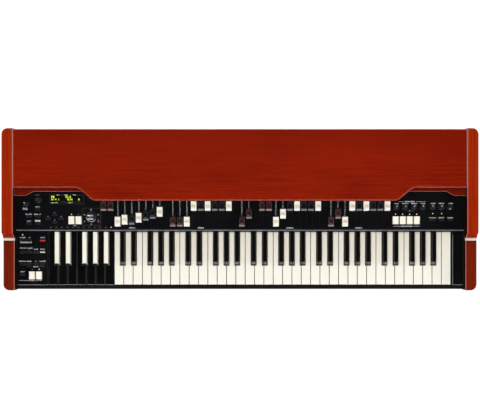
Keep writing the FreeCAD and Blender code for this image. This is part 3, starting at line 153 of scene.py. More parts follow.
def at(x, y, z=0.0, turn=0.0):
    """A place on a bench, turned about Z by degrees."""
    return Matrix.Translation((x, y, z)) @ Matrix.Rotation(math.radians(turn), 4, "Z")


# Colours and shader nodes

def paint(red, green, blue):
    """A colour as the screen shows it, for a shader."""
    def linear(share):
        return share / 12.92 if share <= 0.04045 else ((share + 0.055) / 1.055) ** 2.4
    return (*(linear(value / 255) for value in (red, green, blue)), 1)


def put(tree, kind, inputs=None, **settings):
    """Adds a shader node; each input is a value or the socket that feeds it."""
    made = tree.nodes.new("ShaderNode" + kind)
    for name, value in settings.items():
        setattr(made, name, value)
    for name, value in (inputs or {}).items():
        if isinstance(value, bpy.types.NodeSocket):
            tree.links.new(value, made.inputs[name])
        else:
            made.inputs[name].default_value = value
    return made


def maths(tree, operation, first, second=0.0, clamp=False):
    """One sum on two values."""
    return put(tree, "Math", {0: first, 1: second}, operation=operation, use_clamp=clamp).outputs[0]


def tint(tree, share, first, second):
    """The first colour going over to the second."""
    return put(tree, "Mix", {0: share, 6: first, 7: second}, data_type="RGBA").outputs[2]


def noise(tree, place, scale, detail=3.0, roughness=0.5):
    """Cloudy noise from 0 to 1."""
    return put(tree, "TexNoise", {
        "Vector": place, "Scale": scale, "Detail": detail, "Roughness": roughness,
    }).outputs[0]


def stretch(tree, place, scale, turn=0.0):
    """Coordinates drawn out along the axes."""
    return put(tree, "Mapping", {
        "Vector": place, "Scale": scale, "Rotation": (0, 0, math.radians(turn)),
    }).outputs[0]


def levels(tree, value, start, end, first=0.0, last=1.0):
    """A value spread from one range to another and clamped."""
    return put(tree, "MapRange", {
        "Value": value, "From Min": start, "From Max": end, "To Min": first, "To Max": last,
    }).outputs[0]


# Effects that several finishes share

def effect(name, takes, gives):
    """An empty node group with named inputs and outputs."""
    tree = bpy.data.node_groups.new(name, "ShaderNodeTree")
    for label, value in takes.items():
        kind = "NodeSocketVector" if value is None else "NodeSocketFloat"
        socket = tree.interface.new_socket(label, in_out="INPUT", socket_type=kind)
        if value is not None:
            socket.default_value = value
    for label in gives:
        tree.interface.new_socket(label, in_out="OUTPUT", socket_type="NodeSocketFloat")
    given = tree.nodes.new("NodeGroupInput").outputs
    result = tree.nodes.new("NodeGroupOutput").inputs
    return tree, given, result


def wood_grain():
    """Straight grain along X: a broad figure, streaks, fine fibres and short pores."""
    tree, given, result = effect("wood_grain", {"Place": None}, ("Figure", "Streak", "Pore", "Height"))
    wander = put(tree, "TexNoise", {"Vector": given["Place"], "Scale": 6.0, "Detail": 2.0}).outputs["Color"]
    bent = put(tree, "VectorMath", {
        0: wander, 1: (0.0, 0.006, 0.006), 2: given["Place"],
    }, operation="MULTIPLY_ADD").outputs[0]
    figure = noise(tree, stretch(tree, bent, (2.4, 9, 9)), 1.0, 3.0, 0.55)
    streak = noise(tree, stretch(tree, bent, (5, 330, 330)), 1.0, 5.0, 0.7)
    fibre = noise(tree, stretch(tree, bent, (20, 1300, 1300)), 1.0, 3.0, 0.6)
    pore = levels(tree, noise(tree, stretch(tree, bent, (130, 2600, 2600)), 1.0, 2.0), 0.62, 0.74)
    mixed = maths(tree, "MULTIPLY_ADD", fibre, 0.35)
    tree.links.new(maths(tree, "MULTIPLY", streak, 0.65), mixed.node.inputs[2])
    tree.links.new(figure, result["Figure"])
    tree.links.new(mixed, result["Streak"])
    tree.links.new(pore, result["Pore"])
    tree.links.new(maths(tree, "SUBTRACT", mixed, pore), result["Height"])
    return tree


def worn_edge():
    """How far a point lies on a sharp edge, for a painted highlight mixed with rubbing there, broken up in
    patches.
    """
    tree, given, result = effect("worn_edge", {"Place": None, "Width": 0.001, "Reach": 0.22}, ("Edge",))
    softened = put(tree, "Bevel", {"Radius": given["Width"]}, samples=6).outputs[0]
    flat = put(tree, "NewGeometry").outputs["Normal"]
    turn = put(tree, "VectorMath", {0: softened, 1: flat}, operation="DOT_PRODUCT").outputs["Value"]
    lean = put(tree, "MapRange", {"Value": maths(tree, "SUBTRACT", 1.0, turn), "From Min": 0.01})
    tree.links.new(given["Reach"], lean.inputs["From Max"])
    breakup = levels(tree, noise(tree, given["Place"], 90.0, 4.0), 0.3, 0.6, 0.65, 1.0)
    tree.links.new(maths(tree, "MULTIPLY", lean.outputs[0], breakup), result["Edge"])
    return tree


def fine_grain():
    """The fine skin of a moulding or of sprayed paint, with faint clouding."""
    tree, given, result = effect("fine_grain", {"Place": None, "Size": 1800.0}, ("Cloud", "Height"))
    cloud = noise(tree, given["Place"], 14.0, 4.0, 0.6)
    speck = put(
        tree, "TexNoise", {"Vector": given["Place"], "Scale": given["Size"], "Detail": 2.0}).outputs[0]
    tree.links.new(cloud, result["Cloud"])
    tree.links.new(speck, result["Height"])
    return tree


def settled_grime():
    """Painted shade, with a little dirt, in hollows and along joints, found by ambient occlusion."""
    tree, given, result = effect("settled_grime", {"Place": None, "Reach": 0.006}, ("ShadeAndGrime",))
    open_sky = put(tree, "AmbientOcclusion", {"Distance": given["Reach"]}, samples=6).outputs["AO"]
    shut = levels(tree, open_sky, 0.92, 0.35)
    patch = levels(tree, noise(tree, given["Place"], 160.0, 3.0), 0.25, 0.7, 0.6, 1.0)
    tree.links.new(maths(tree, "MULTIPLY", shut, patch), result["ShadeAndGrime"])
    return tree


def brush_marks():
    """Fine parallel lines along X, as a brush leaves them on metal."""
    tree, given, result = effect("brush_marks", {"Place": None}, ("Line", "Height"))
    stroke = noise(tree, stretch(tree, given["Place"], (30, 4200, 4200)), 1.0, 3.0, 0.7)
    soft = noise(tree, given["Place"], 30.0, 3.0)
    tree.links.new(maths(tree, "MULTIPLY", stroke, soft), result["Line"])
    tree.links.new(stroke, result["Height"])
    return tree


WOOD_GRAIN = wood_grain()
EDGE_HIGHLIGHT_AND_WEAR = worn_edge()
FINE_GRAIN = fine_grain()
HOLLOW_SHADE_AND_GRIME = settled_grime()
BRUSH_MARKS = brush_marks()


def use(tree, group, **inputs):
    """Places a shared effect in a finish and gives its outputs."""
    return put(tree, "Group", inputs, node_tree=group).outputs


def facing(tree, axis):
    """How far the surface faces along an axis."""
    return put(tree, "SeparateXYZ", {0: put(tree, "NewGeometry").outputs["Normal"]}).outputs[axis]


def new_finish(name):
    """An empty finish: its material, node tree, shader and the place of each point."""
    material = bpy.data.materials.new(name)
    material.use_nodes = True
    tree = material.node_tree
    place = put(tree, "TexCoord").outputs["Object"]
    return material, tree, tree.nodes["Principled BSDF"], place


def feed(tree, shader, **inputs):
    """Feeds the shader's sockets; Base_Color stands for Base Color."""
    for name, value in inputs.items():
        socket = shader.inputs[name.replace("_", " ")]
        if isinstance(value, bpy.types.NodeSocket):
            tree.links.new(value, socket)
        else:
            socket.default_value = value


def bump(tree, height, depth, strength=1.0):
    """A normal from a height, its full depth in metres."""
    return put(tree, "Bump", {"Height": height, "Distance": depth, "Strength": strength}).outputs[0]


def both(tree, first, second):
    """One share held back by another, which is their product."""
    return maths(tree, "MULTIPLY", first, second)


# Finishes

def lacquered_wood(
    name, deep, fair, bright, edge, turn=0, edge_share=0.55, reach=0.22, fade=None, inner=False,
):
    """Stained veneer under lacquer; turn 90 lays the grain along Y, fade deepens it to the back, and inner
    is for the end pieces, whose walls beside the keys are darkened and whose rim above them gets a painted
    highlight."""
    material, tree, shader, place = new_finish(name)
    grain = use(tree, WOOD_GRAIN, Place=stretch(tree, place, (1, 1, 1), turn))
    colour = tint(tree, levels(tree, grain["Figure"], 0.36, 0.66), paint(*deep), paint(*fair))
    colour = tint(tree, levels(tree, grain["Streak"], 0.42, 0.68, 0.0, 0.75), colour, paint(*bright))
    where = put(tree, "SeparateXYZ", {0: place}).outputs
    if fade:
        colour = tint(tree, levels(tree, where["Y"], fade[0], fade[1], 0.0, 0.6), colour, paint(*deep))
    dark = tuple(value * 0.55 for value in deep)
    colour = tint(tree, both(tree, grain["Pore"], 0.5), colour, paint(*dark))
    # The edge colour is a painted highlight along the rounded edges, mixed with rubbing.
    lit_worn_edge = use(tree, EDGE_HIGHLIGHT_AND_WEAR, Place=place, Width=0.0022, Reach=reach)["Edge"]
    colour = tint(tree, both(tree, lit_worn_edge, edge_share), colour, paint(*edge))
    # Painted shade, with a little dirt, darkens the joints.
    seam_shade = use(tree, HOLLOW_SHADE_AND_GRIME, Place=place, Reach=0.01)["ShadeAndGrime"]
    colour = tint(tree, both(tree, seam_shade, 0.5), colour, paint(*dark))
    if inner:
        colour = shade_inner_wall(tree, where["X"], colour)
    feed(
        tree, shader, Base_Color=colour,
        Roughness=levels(tree, grain["Streak"], 0.3, 0.7, 0.36, 0.26),
        Normal=bump(tree, grain["Height"], 0.00002, 0.3),
        Coat_Weight=levels(tree, grain["Pore"], 0.0, 1.0, 0.14, 0.08),
    )
    shader.inputs["Specular IOR Level"].default_value = 0.03
    shader.inputs["Coat Roughness"].default_value = 0.04
    return material


def shade_inner_wall(tree, x, colour):
    """Darkens the walls beside the keys and paints a highlight on the rim above them."""
    across = maths(tree, "ABSOLUTE", x)
    upward = facing(tree, "Z")
    wall = both(
        tree, levels(tree, across, (inner_right + 0.5) * MM, (inner_right + 0.2) * MM),
        levels(tree, upward, 0.4, 0.2, 0.0, 0.93))
    colour = tint(tree, wall, colour, paint(18, 8, 7))
    # A painted highlight on the rim above the wall.
    rim = both(
        tree, levels(tree, across, (inner_right + 1.9) * MM, (inner_right + 1.2) * MM),
        levels(tree, upward, 0.3, 0.5, 0.0, 0.8))
    return tint(tree, rim, colour, paint(190, 132, 120))


def moulded_plastic(
    name, colour, cloud, grime_and_shade, edge, rough, coat=0.0, edge_share=0.5, wide=0.0006, level=0.4, painted_light=None,
    hollow=None, nose=None,
):
    """Moulded plastic with clouding, painted shade with a little dirt in its hollows, and edges made lighter
    by a painted highlight mixed with rubbing; a given function adds a piece's own tones and painted light,
    and hollow and nose are the colours of the painted shade in a knob's thumb hollow and of the painted
    highlight on its nose."""
    material, tree, shader, place = new_finish(name)
    skin_grain = use(tree, FINE_GRAIN, Place=place, Size=1800.0)
    shade = tint(tree, levels(tree, skin_grain["Cloud"], 0.3, 0.7), paint(*colour), paint(*cloud))
    # A knob's painted shade in its hollow and painted highlight on its nose, stored on its points.
    if hollow:
        knob_light = put(tree, "Attribute", attribute_name="painted_light").outputs["Fac"]
        shade = tint(tree, maths(tree, "MULTIPLY", knob_light, 1.0, True), shade, paint(*hollow))
        shade = tint(tree, maths(tree, "MULTIPLY", knob_light, -1.0, True), shade, paint(*nose))
    if painted_light:
        shade = painted_light(tree, place, shade)
    # Painted shade, with a little dirt, in the hollows.
    held = use(tree, HOLLOW_SHADE_AND_GRIME, Place=place, Reach=0.005)["ShadeAndGrime"]
    shade = tint(tree, both(tree, held, 0.75), shade, paint(*grime_and_shade))
    # A painted highlight along the edges, mixed with rubbing.
    lit_worn_edge = use(tree, EDGE_HIGHLIGHT_AND_WEAR, Place=place, Width=wide)["Edge"]
    shade = tint(tree, both(tree, lit_worn_edge, edge_share), shade, paint(*edge))
    feed(
        tree, shader, Base_Color=shade,
        Roughness=levels(tree, skin_grain["Cloud"], 0.25, 0.75, rough * 0.85, rough * 1.15),
        Normal=bump(tree, skin_grain["Height"], 0.00002, 0.4),
        Coat_Weight=coat,
    )
    shader.inputs["Specular IOR Level"].default_value = level
    shader.inputs["Coat Roughness"].default_value = 0.1
    return material


def natural_wear(tree, place, shade):
    """A natural's colours: a slightly greyer front, painted shade along the gaps to its neighbours, and
    painted shade on its walls.
    """
    where = put(tree, "SeparateXYZ", {0: place}).outputs
    reach = sharp_front * MM
    # A slightly greyer front, ahead of the sharps.
    shade = tint(tree, levels(tree, where["Y"], reach + 0.03, reach - 0.006), shade, paint(246, 242, 229))
    across = maths(tree, "SUBTRACT", where["X"], manual_left * MM)
    off = maths(tree, "PINGPONG", maths(tree, "MULTIPLY", across, 1 / (key_pitch * MM)), 0.5)
    # Painted shade along the gaps between the keys.
    shade = tint(tree, levels(tree, off, 0.055, 0.03, 0.0, 0.75), shade, paint(64, 60, 52))
    # Painted shade on the walls.
    return tint(tree, levels(tree, facing(tree, "Z"), 0.99, 0.8), shade, paint(26, 22, 18))


def sharp_wear(tree, place, shade):
    """A sharp's painted light: a painted sheen on its walls, and a painted highlight in streaks on its front
    lip.
    """
    # A painted sheen on the walls.
    shade = tint(tree, levels(tree, facing(tree, "Z"), 0.99, 0.8), shade, paint(34, 31, 27))
    along = put(tree, "SeparateXYZ", {0: place}).outputs["Y"]
    near = both(
        tree, levels(tree, along, (sharp_front + 1.6) * MM, (sharp_front + 3.0) * MM),
        levels(tree, along, (sharp_front + 10.5) * MM, (sharp_front + 7.5) * MM))
    # A streaky painted highlight on the front lip.
    lip_streaks = noise(tree, stretch(tree, place, (420, 30, 30)), 1.0, 2.0)
    lip_highlight = levels(tree, lip_streaks, 0.42, 0.58, 0.15, 0.85)
    return tint(tree, both(tree, near, lip_highlight), shade, paint(150, 147, 142))


def preset_sharp_wear(tree, place, shade):
    """A preset sharp's front end, darkened as painted shade."""
    # Painted shade on the faces that look to the front.
    return tint(tree, levels(tree, facing(tree, "Y"), -0.3, -0.6), shade, paint(26, 24, 22))


def sprayed_metal(name, colour, cloud, edge, rough=0.42, edge_share=0.6, wide=0.0009):
    """Steel sheet under fine satin paint, with a painted highlight, mixed with rubbing, along its edges."""
    material, tree, shader, place = new_finish(name)
    spray = use(tree, FINE_GRAIN, Place=place, Size=2600.0)
    shade = tint(tree, levels(tree, spray["Cloud"], 0.3, 0.7), paint(*colour), paint(*cloud))
    # A painted highlight along the edges, mixed with rubbing.
    lit_worn_edge = use(tree, EDGE_HIGHLIGHT_AND_WEAR, Place=place, Width=wide)["Edge"]
    shade = tint(tree, both(tree, lit_worn_edge, edge_share), shade, paint(*edge))
    feed(
        tree, shader, Base_Color=shade,
        Roughness=levels(tree, spray["Height"], 0.3, 0.7, rough * 0.85, rough * 1.2),
        Normal=bump(tree, spray["Height"], 0.00003, 0.5),
    )
    shader.inputs["Specular IOR Level"].default_value = 0.4
    return material


def brushed_metal(name, colour, groove, metallic, rough):
    """Brushed or plated metal; groove is the colour between the brush marks."""
    material, tree, shader, place = new_finish(name)
    marks = use(tree, BRUSH_MARKS, Place=place)
    shade = tint(tree, levels(tree, marks["Line"], 0.1, 0.5), paint(*groove), paint(*colour))
    # Painted shade, with a little dirt, in the hollows.
    held = use(tree, HOLLOW_SHADE_AND_GRIME, Place=place, Reach=0.004)["ShadeAndGrime"]
    shade = tint(tree, both(tree, held, 0.6), shade, paint(40, 36, 34))
    feed(
        tree, shader, Base_Color=shade, Metallic=metallic,
        Roughness=levels(tree, marks["Line"], 0.1, 0.5, rough * 1.3, rough * 0.8),
        Normal=bump(tree, marks["Height"], 0.00002, 0.4),
    )
    return material


def print_ink(name, colour):
    """Screen-printed ink, a little thin in places."""
    material, tree, shader, place = new_finish(name)
    thin = levels(tree, noise(tree, place, 1400.0, 3.0), 0.3, 0.55, 0.25, 0.0)
    shade = tint(tree, thin, paint(*colour), paint(*(value * 0.6 for value in colour)))
    feed(tree, shader, Base_Color=shade, Roughness=levels(tree, thin, 0.0, 0.25, 0.45, 0.7))
    return material


def lamp_lens(name, colour, glow):
    """A small moulded lens, lit from behind where glow is above nought."""
    material, tree, shader, place = new_finish(name)
    cloud = noise(tree, place, 900.0, 2.0)
    dim = paint(*(value * 0.75 for value in colour))
    core = tint(tree, levels(tree, cloud, 0.3, 0.7), paint(*colour), dim)
    feed(
        tree, shader, Base_Color=core, Emission_Color=core, Emission_Strength=glow,
        Roughness=levels(tree, cloud, 0.3, 0.7, 0.18, 0.3), Coat_Weight=0.4,
    )
    return material


def display_glass():
    """The dark tinted window over the display, with a faint cell pattern under it."""
    material, tree, shader, place = new_finish("display_glass")
    cell = put(tree, "TexVoronoi", {"Vector": place, "Scale": 900.0}).outputs["Distance"]
    shade = tint(tree, levels(tree, cell, 0.2, 0.6), paint(9, 12, 8), paint(16, 20, 12))
    smear = noise(tree, place, 60.0, 3.0)
    feed(tree, shader, Base_Color=shade, Roughness=levels(tree, smear, 0.4, 0.7, 0.05, 0.16), Coat_Weight=0.6)
    return material


def wool_felt():
    """Matted wool felt."""
    material, tree, shader, place = new_finish("wool_felt")
    fibre = noise(tree, place, 1500.0, 6.0, 0.75)
    tuft = noise(tree, place, 180.0, 4.0)
    shade = tint(tree, levels(tree, tuft, 0.3, 0.7), paint(96, 22, 24), paint(142, 42, 40))
    shade = tint(tree, levels(tree, fibre, 0.45, 0.7, 0.0, 0.4), shade, paint(176, 88, 80))
    feed(tree, shader, Base_Color=shade, Roughness=levels(tree, fibre, 0.3, 0.7, 0.85, 1.0),
         Normal=bump(tree, fibre, 0.0004, 0.8))
    shader.inputs["Sheen Weight"].default_value = 0.5
    return material


def solder_board():
    """Green circuit board with copper tracks under its mask."""
    material, tree, shader, place = new_finish("solder_board")
    track = put(tree, "TexBrick", {
        "Vector": place, "Scale": 90.0, "Color1": paint(16, 74, 40), "Color2": paint(12, 60, 34),
        "Mortar": paint(46, 110, 56), "Mortar Size": 0.04,
    }).outputs["Color"]
    cloud = noise(tree, place, 40.0, 3.0)
    shade = tint(tree, levels(tree, cloud, 0.3, 0.7, 0.0, 0.35), track, paint(8, 40, 26))
    feed(tree, shader, Base_Color=shade, Roughness=levels(tree, cloud, 0.3, 0.7, 0.3, 0.5))
    return material


def painted_board():
    """Fibreboard under thin black paint."""
    material, tree, shader, place = new_finish("painted_board")
    chip = noise(tree, stretch(tree, place, (300, 300, 900)), 1.0, 5.0, 0.7)
    shade = tint(tree, levels(tree, chip, 0.35, 0.7), paint(20, 19, 18), paint(38, 35, 32))
    # Paler along the edges: a painted highlight mixed with paint rubbed through to the board.
    lit_worn_edge = use(tree, EDGE_HIGHLIGHT_AND_WEAR, Place=place, Width=0.0015)["Edge"]
    shade = tint(tree, both(tree, lit_worn_edge, 0.5), shade, paint(84, 70, 56))
    feed(tree, shader, Base_Color=shade, Roughness=levels(tree, chip, 0.3, 0.7, 0.6, 0.8),
         Normal=bump(tree, chip, 0.0002, 0.5))
    return material


def moulded_rubber():
    """Black rubber with a dusty bloom."""
    material, tree, shader, place = new_finish("moulded_rubber")
    bloom = noise(tree, place, 220.0, 4.0)
    shade = tint(tree, levels(tree, bloom, 0.4, 0.75), paint(20, 20, 21), paint(52, 51, 50))
    feed(tree, shader, Base_Color=shade, Roughness=levels(tree, bloom, 0.3, 0.7, 0.7, 0.9),
         Normal=bump(tree, noise(tree, place, 1600.0), 0.00005, 0.5))
    return material


# Each finish's edge colour is painted along its sharp edges as a highlight mixed with rubbing, and a moulded
# finish's third colour is painted shade with a little dirt in its hollows.
LID_RED = lacquered_wood(
    "lid_red_lacquer", (112, 15, 0), (136, 25, 0), (160, 37, 0), (240, 186, 178), edge_share=1.0, reach=0.1,
    fade=(0.06, 0.19))
FASCIA_RED = lacquered_wood(
    "fascia_red_lacquer", (92, 11, 0), (112, 18, 0), (134, 27, 1), (206, 146, 136), edge_share=0.95,
    reach=0.12)
BLOCK_RED = lacquered_wood(
    "end_block_lacquer", (134, 26, 0), (156, 37, 0), (182, 54, 2), (172, 98, 80), turn=90, edge_share=0.55,
    inner=True)
CHEEK_RED = lacquered_wood(
    "cheek_lacquer", (92, 18, 3), (114, 28, 4), (138, 42, 8), (140, 78, 60), turn=90, edge_share=0.5,
    inner=True)
IVORY = moulded_plastic(
    "key_ivory", (252, 247, 232), (249, 242, 224), (236, 227, 202), (252, 250, 240), 0.24, 0.3, 0.1,
    painted_light=natural_wear)
PRESET_IVORY = moulded_plastic(
    "preset_ivory", (246, 242, 228), (241, 235, 218), (226, 216, 188), (252, 250, 240), 0.24, 0.3, 0.1,
    painted_light=preset_sharp_wear)
EBONY = moulded_plastic(
    "key_ebony", (4, 4, 4), (7, 7, 7), (3, 3, 3), (112, 108, 102), 0.5, 0.0, 0.7, level=0.1,
    painted_light=sharp_wear)
PRESET_BLACK = moulded_plastic(
    "preset_black", (5, 5, 6), (8, 8, 10), (3, 3, 3), (132, 132, 136), 0.36, 0.0, 0.9, wide=0.0011,
    level=0.2)
PANEL_BLACK = sprayed_metal("panel_satin_black", (5, 5, 7), (8, 9, 11), (60, 60, 68), edge_share=0.2)
BLOCK_BLACK = sprayed_metal(
    "key_block_satin_black", (5, 5, 7), (8, 9, 11), (136, 137, 144), 0.42, 0.9, 0.0012)
RAIL_BLACK = sprayed_metal("rail_satin_black", (16, 15, 11), (22, 21, 16), (70, 68, 58))
# Grey for the painted highlights along the preset naturals' gaps.
PRESET_SIDE_HIGHLIGHT = moulded_plastic(
    "preset_side_highlight", (38, 38, 41), (46, 46, 49), (30, 30, 32), (90, 90, 94), 0.4, 0.0, 0.3, level=0.2)
# Pale satin grey for the strips that paint highlights on edges.
HIGHLIGHT_GREY = brushed_metal("highlight_satin_grey", (200, 200, 208), (172, 172, 180), 0.15, 0.4)
TRIM_SILVER = brushed_metal("trim_satin_silver", (240, 233, 228), (214, 207, 202), 0.1, 0.4)
ZINC = brushed_metal("zinc_plate", (176, 174, 170), (140, 138, 134), 0.85, 0.36)
NICKEL = brushed_metal("nickel_plate", (198, 194, 186), (160, 156, 150), 0.9, 0.22)
# A knob's hollow colour is painted shade in its thumb hollow, and its nose colour a painted highlight on its
# nose.
KNOB_WHITE = moulded_plastic(
    "drawbar_white", (249, 245, 232), (244, 238, 222), (190, 172, 136), (255, 253, 246), 0.22, 0.35, 0.4,
    hollow=(202, 180, 142), nose=(255, 253, 246))
KNOB_BROWN = moulded_plastic(
    "drawbar_brown", (52, 31, 29), (62, 38, 35), (22, 13, 12), (150, 122, 118), 0.24, 0.35, 0.5,
    hollow=(24, 17, 17), nose=(148, 126, 120))
KNOB_BLACK = moulded_plastic(
    "drawbar_black", (17, 19, 23), (23, 26, 31), (8, 8, 9), (96, 100, 108), 0.24, 0.35, 0.5,
    hollow=(7, 8, 10), nose=(120, 123, 130))
STEM_BLACK = moulded_plastic(
    "stem_black", (12, 12, 14), (18, 18, 21), (7, 7, 8), (70, 70, 76), 0.35, 0.1, 0.5)
DIAL_BLACK = moulded_plastic(
    "dial_matt_black", (22, 25, 30), (29, 33, 39), (7, 7, 9), (70, 74, 80), 0.5, 0.0, 0.5)
TAB_CREAM = moulded_plastic(
    "tab_cream", (253, 249, 236), (249, 243, 227), (206, 192, 160), (253, 250, 240), 0.24, 0.35, 0.4)
BUTTON_DARK = moulded_plastic(
    "button_dark", (24, 25, 29), (31, 32, 37), (7, 7, 8), (96, 97, 103), 0.4, 0.0, 0.6)
BUTTON_RED = moulded_plastic(
    "button_red", (204, 22, 24), (216, 32, 32), (90, 8, 8), (232, 110, 104), 0.3, 0.2, 0.3)
BUTTON_PALE = moulded_plastic(
    "button_pale", (216, 204, 190), (226, 216, 204), (120, 104, 90), (246, 240, 230), 0.3, 0.2, 0.4)
SOCKET_BLACK = moulded_plastic(
    "socket_black", (22, 22, 23), (28, 28, 30), (8, 8, 8), (70, 70, 74), 0.38, 0.0, 0.5)
INK_WHITE = print_ink("ink_white", (236, 236, 240))
INK_GREY = print_ink("ink_grey", (96, 97, 104))
INK_DARK = print_ink("ink_dark", (14, 14, 16))
INK_RED = print_ink("ink_red", (196, 40, 40))
LAMP_OFF = lamp_lens("lamp_off", (52, 44, 48), 0.0)
LAMP_GREY = lamp_lens("lamp_grey", (142, 142, 148), 0.1)
LAMP_WHITE = lamp_lens("lamp_white", (244, 244, 240), 1.0)
LAMP_PINK = lamp_lens("lamp_pink", (246, 198, 184), 1.5)
LAMP_CREAM = lamp_lens("lamp_cream", (236, 214, 184), 1.2)
LAMP_AMBER = lamp_lens("lamp_amber", (250, 182, 96), 1.8)
DIGITS_LIT = lamp_lens("digits_lit", (214, 226, 34), 0.55)
DISPLAY_GLASS = display_glass()
FELT = wool_felt()
BOARD_GREEN = solder_board()
BASE_BLACK = painted_board()
RUBBER = moulded_rubber()


# Parts, shaped in millimetres

def as_part(shape):
    """Keeps a finished shape, so that it can be laid in many times."""
    bmesh.ops.recalc_face_normals(shape, faces=shape.faces)
    part = bpy.data.meshes.new("part")
    shape.to_mesh(part)
    shape.free()
    return part


def skin(rings, painted_light=None):
    """A closed skin over rings of points; the function given with it gives each point its painted light,
    above nought for painted shade in a hollow and below it for a painted highlight on a nose.
    """
    shape = bmesh.new()
    share = shape.verts.layers.float.new("painted_light")
    rows = [[shape.verts.new(point) for point in ring] for ring in rings]
    for point in shape.verts:
        point[share] = painted_light(point.co) if painted_light else 0.0
    count = len(rows[0])
    for near, far in zip(rows, rows[1:]):
        for i in range(count):
            j = (i + 1) % count
            shape.faces.new((near[i], near[j], far[j], far[i]))
    shape.faces.new(rows[0])
    shape.faces.new(rows[-1])
    return as_part(shape)


@functools.cache
def block(width, depth, height, edge=0.3, steps=2):
    """A block that stands on its base, with rounded edges."""
    shape = bmesh.new()
    size = Matrix.Diagonal((width, depth, height, 1))
    bmesh.ops.create_cube(shape, size=1, matrix=at(0, 0, height / 2) @ size)
    bmesh.ops.bevel(shape, geom=shape.edges[:], offset=edge, segments=steps, profile=0.5, affect="EDGES")
    return as_part(shape)


@functools.cache
def turned(profile, sides=32, flutes=0, depth=0.0):
    """A turned part; each step of the profile is a radius, a height and whether the flutes cut it."""
    rings = []
    for radius, height, fluted in profile:
        ring = []
        for i in range(sides):
            angle = 2 * math.pi * i / sides
            reach = radius - (depth * (0.5 - 0.5 * math.cos(flutes * angle)) if fluted else 0)
            ring.append((reach * math.cos(angle), reach * math.sin(angle), height))
        rings.append(ring)
    return skin(rings)


# Points round each corner of a rounded rectangle, and round a whole ring
corner_steps = 5
ring_steps = 36


def rounded(width, depth, corner, height):
    """A ring of points round a rectangle with rounded corners."""
    ring = []
    for cx, cy, start in ((1, 1, 0), (-1, 1, 90), (-1, -1, 180), (1, -1, 270)):
        for i in range(corner_steps):
            angle = math.radians(start + 90 * i / (corner_steps - 1))
            ring.append((
                cx * (width / 2 - corner) + corner * math.cos(angle),
                cy * (depth / 2 - corner) + corner * math.sin(angle),
                height,
            ))
    return ring


def faceted(corner, sides, height):
    """A ring of points round a polygon, sized to its corners."""
    ring = []
    for i in range(ring_steps):
        angle = 2 * math.pi * i / ring_steps
        step = 2 * math.pi / sides
        off = (angle % step) - step / 2
        reach = corner * math.cos(step / 2) / math.cos(off)
        ring.append((reach * math.cos(angle), reach * math.sin(angle), height))
    return ring


def circle(radius, height):
    """A ring of points round a circle."""
    angles = [2 * math.pi * i / ring_steps for i in range(ring_steps)]
    return [(radius * math.cos(angle), radius * math.sin(angle), height) for angle in angles]


@functools.cache
def words(text, height, heavy=0.035, spread=1.0):
    """Flat lettering with its middle at the origin; heavy thickens its strokes and spread spaces it."""
    face = bpy.data.curves.new("words", "FONT")
    face.body = text
    face.size = height / 0.69
    face.offset = height * heavy
    face.align_x = "CENTER"
    face.align_y = "CENTER"
    face.space_character = spread
    face.resolution_u = 1
    holder = bpy.data.objects.new("words", face)
    bpy.context.scene.collection.objects.link(holder)
    part = bpy.data.meshes.new_from_object(holder.evaluated_get(bpy.context.evaluated_depsgraph_get()))
    bpy.data.objects.remove(holder)
    bpy.data.curves.remove(face)
    return part


def lay_in(piece, part, where):
    """Lays a part in a piece at its place."""
    start = len(piece.verts)
    piece.from_mesh(part)
    piece.verts.ensure_lookup_table()
    bmesh.ops.transform(piece, matrix=where, verts=piece.verts[start:])


def mount(piece, name, finish, body, stands_for=()):
    """Sets a finished piece on its body, in its finish."""
    shape = bpy.data.meshes.new(name)
    piece.to_mesh(shape)
    piece.free()
    for face in shape.polygons:
        face.use_smooth = True
    shape.set_sharp_from_angle(angle=math.radians(38))
    shape.materials.append(finish)
    made = bpy.data.objects.new(name, shape)
    bpy.context.scene.collection.objects.link(made)
    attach(made, body)
    if stands_for:
        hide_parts(*stands_for)
    return made


# Case, keys and the other nodes whose own shape is right

def finish_node(name, finish, edge=0.0, steps=2):
    """Gives a node its finish, and softens its edges where edge is above nought."""
    node = nodes[name]
    node.data.materials.clear()
    node.data.materials.append(finish)
    if edge:
        weld = node.modifiers.new("weld", "WELD")
        weld.merge_threshold = 0.00001
        soft = node.modifiers.new("soft_edges", "BEVEL")
        soft.width = edge * MM
        soft.segments = steps
        soft.limit_method = "ANGLE"
        soft.angle_limit = math.radians(25)
        soft.harden_normals = True
        node.modifiers.new("normals", "WEIGHTED_NORMAL")


def finish_case():
    """The wooden case with its metal trims, base, rails, plates and insides."""
    finish_node("top_lid", LID_RED, 1.0, 3)
    finish_node("lid_fascias", FASCIA_RED, 0.8, 3)
    finish_node("rear_board", LID_RED, 0.8)
    for side in ("left", "right"):
        finish_node(side + "_end_block", BLOCK_RED, 1.0, 3)
        finish_node(side + "_cheek", CHEEK_RED, 1.0, 3)
    finish_node("cheek_trims", TRIM_SILVER, 0.8, 3)
    finish_node("base_board", BASE_BLACK, 0.6)
    finish_node("front_rail", RAIL_BLACK, 1.0, 3)
    finish_node("jack_plate", PANEL_BLACK, 0.2)
    finish_node("control_panel", PANEL_BLACK, 0.2)
    finish_node("key_blocks", BLOCK_BLACK, 0.6)
    finish_node("drawbar_housings", STEM_BLACK)
    finish_node("key_frame", ZINC)
    finish_node("key_pivot_rod", NICKEL)
    finish_node("key_felt", FELT)
    finish_node("circuit_boards", BOARD_GREEN)


def finish_keys():
    """Ivory naturals and black sharps, and the other way round for the presets."""
    for note in "cdefgab":
        finish_node(note + "_keys", IVORY, 0.5)
    for note in "cdfga":
        finish_node(note + "_sharp_keys", EBONY, 0.5)
    finish_node("preset_naturals", PRESET_BLACK, 0.5)
    finish_node("preset_sharps", PRESET_IVORY, 0.5)


# Drawbars

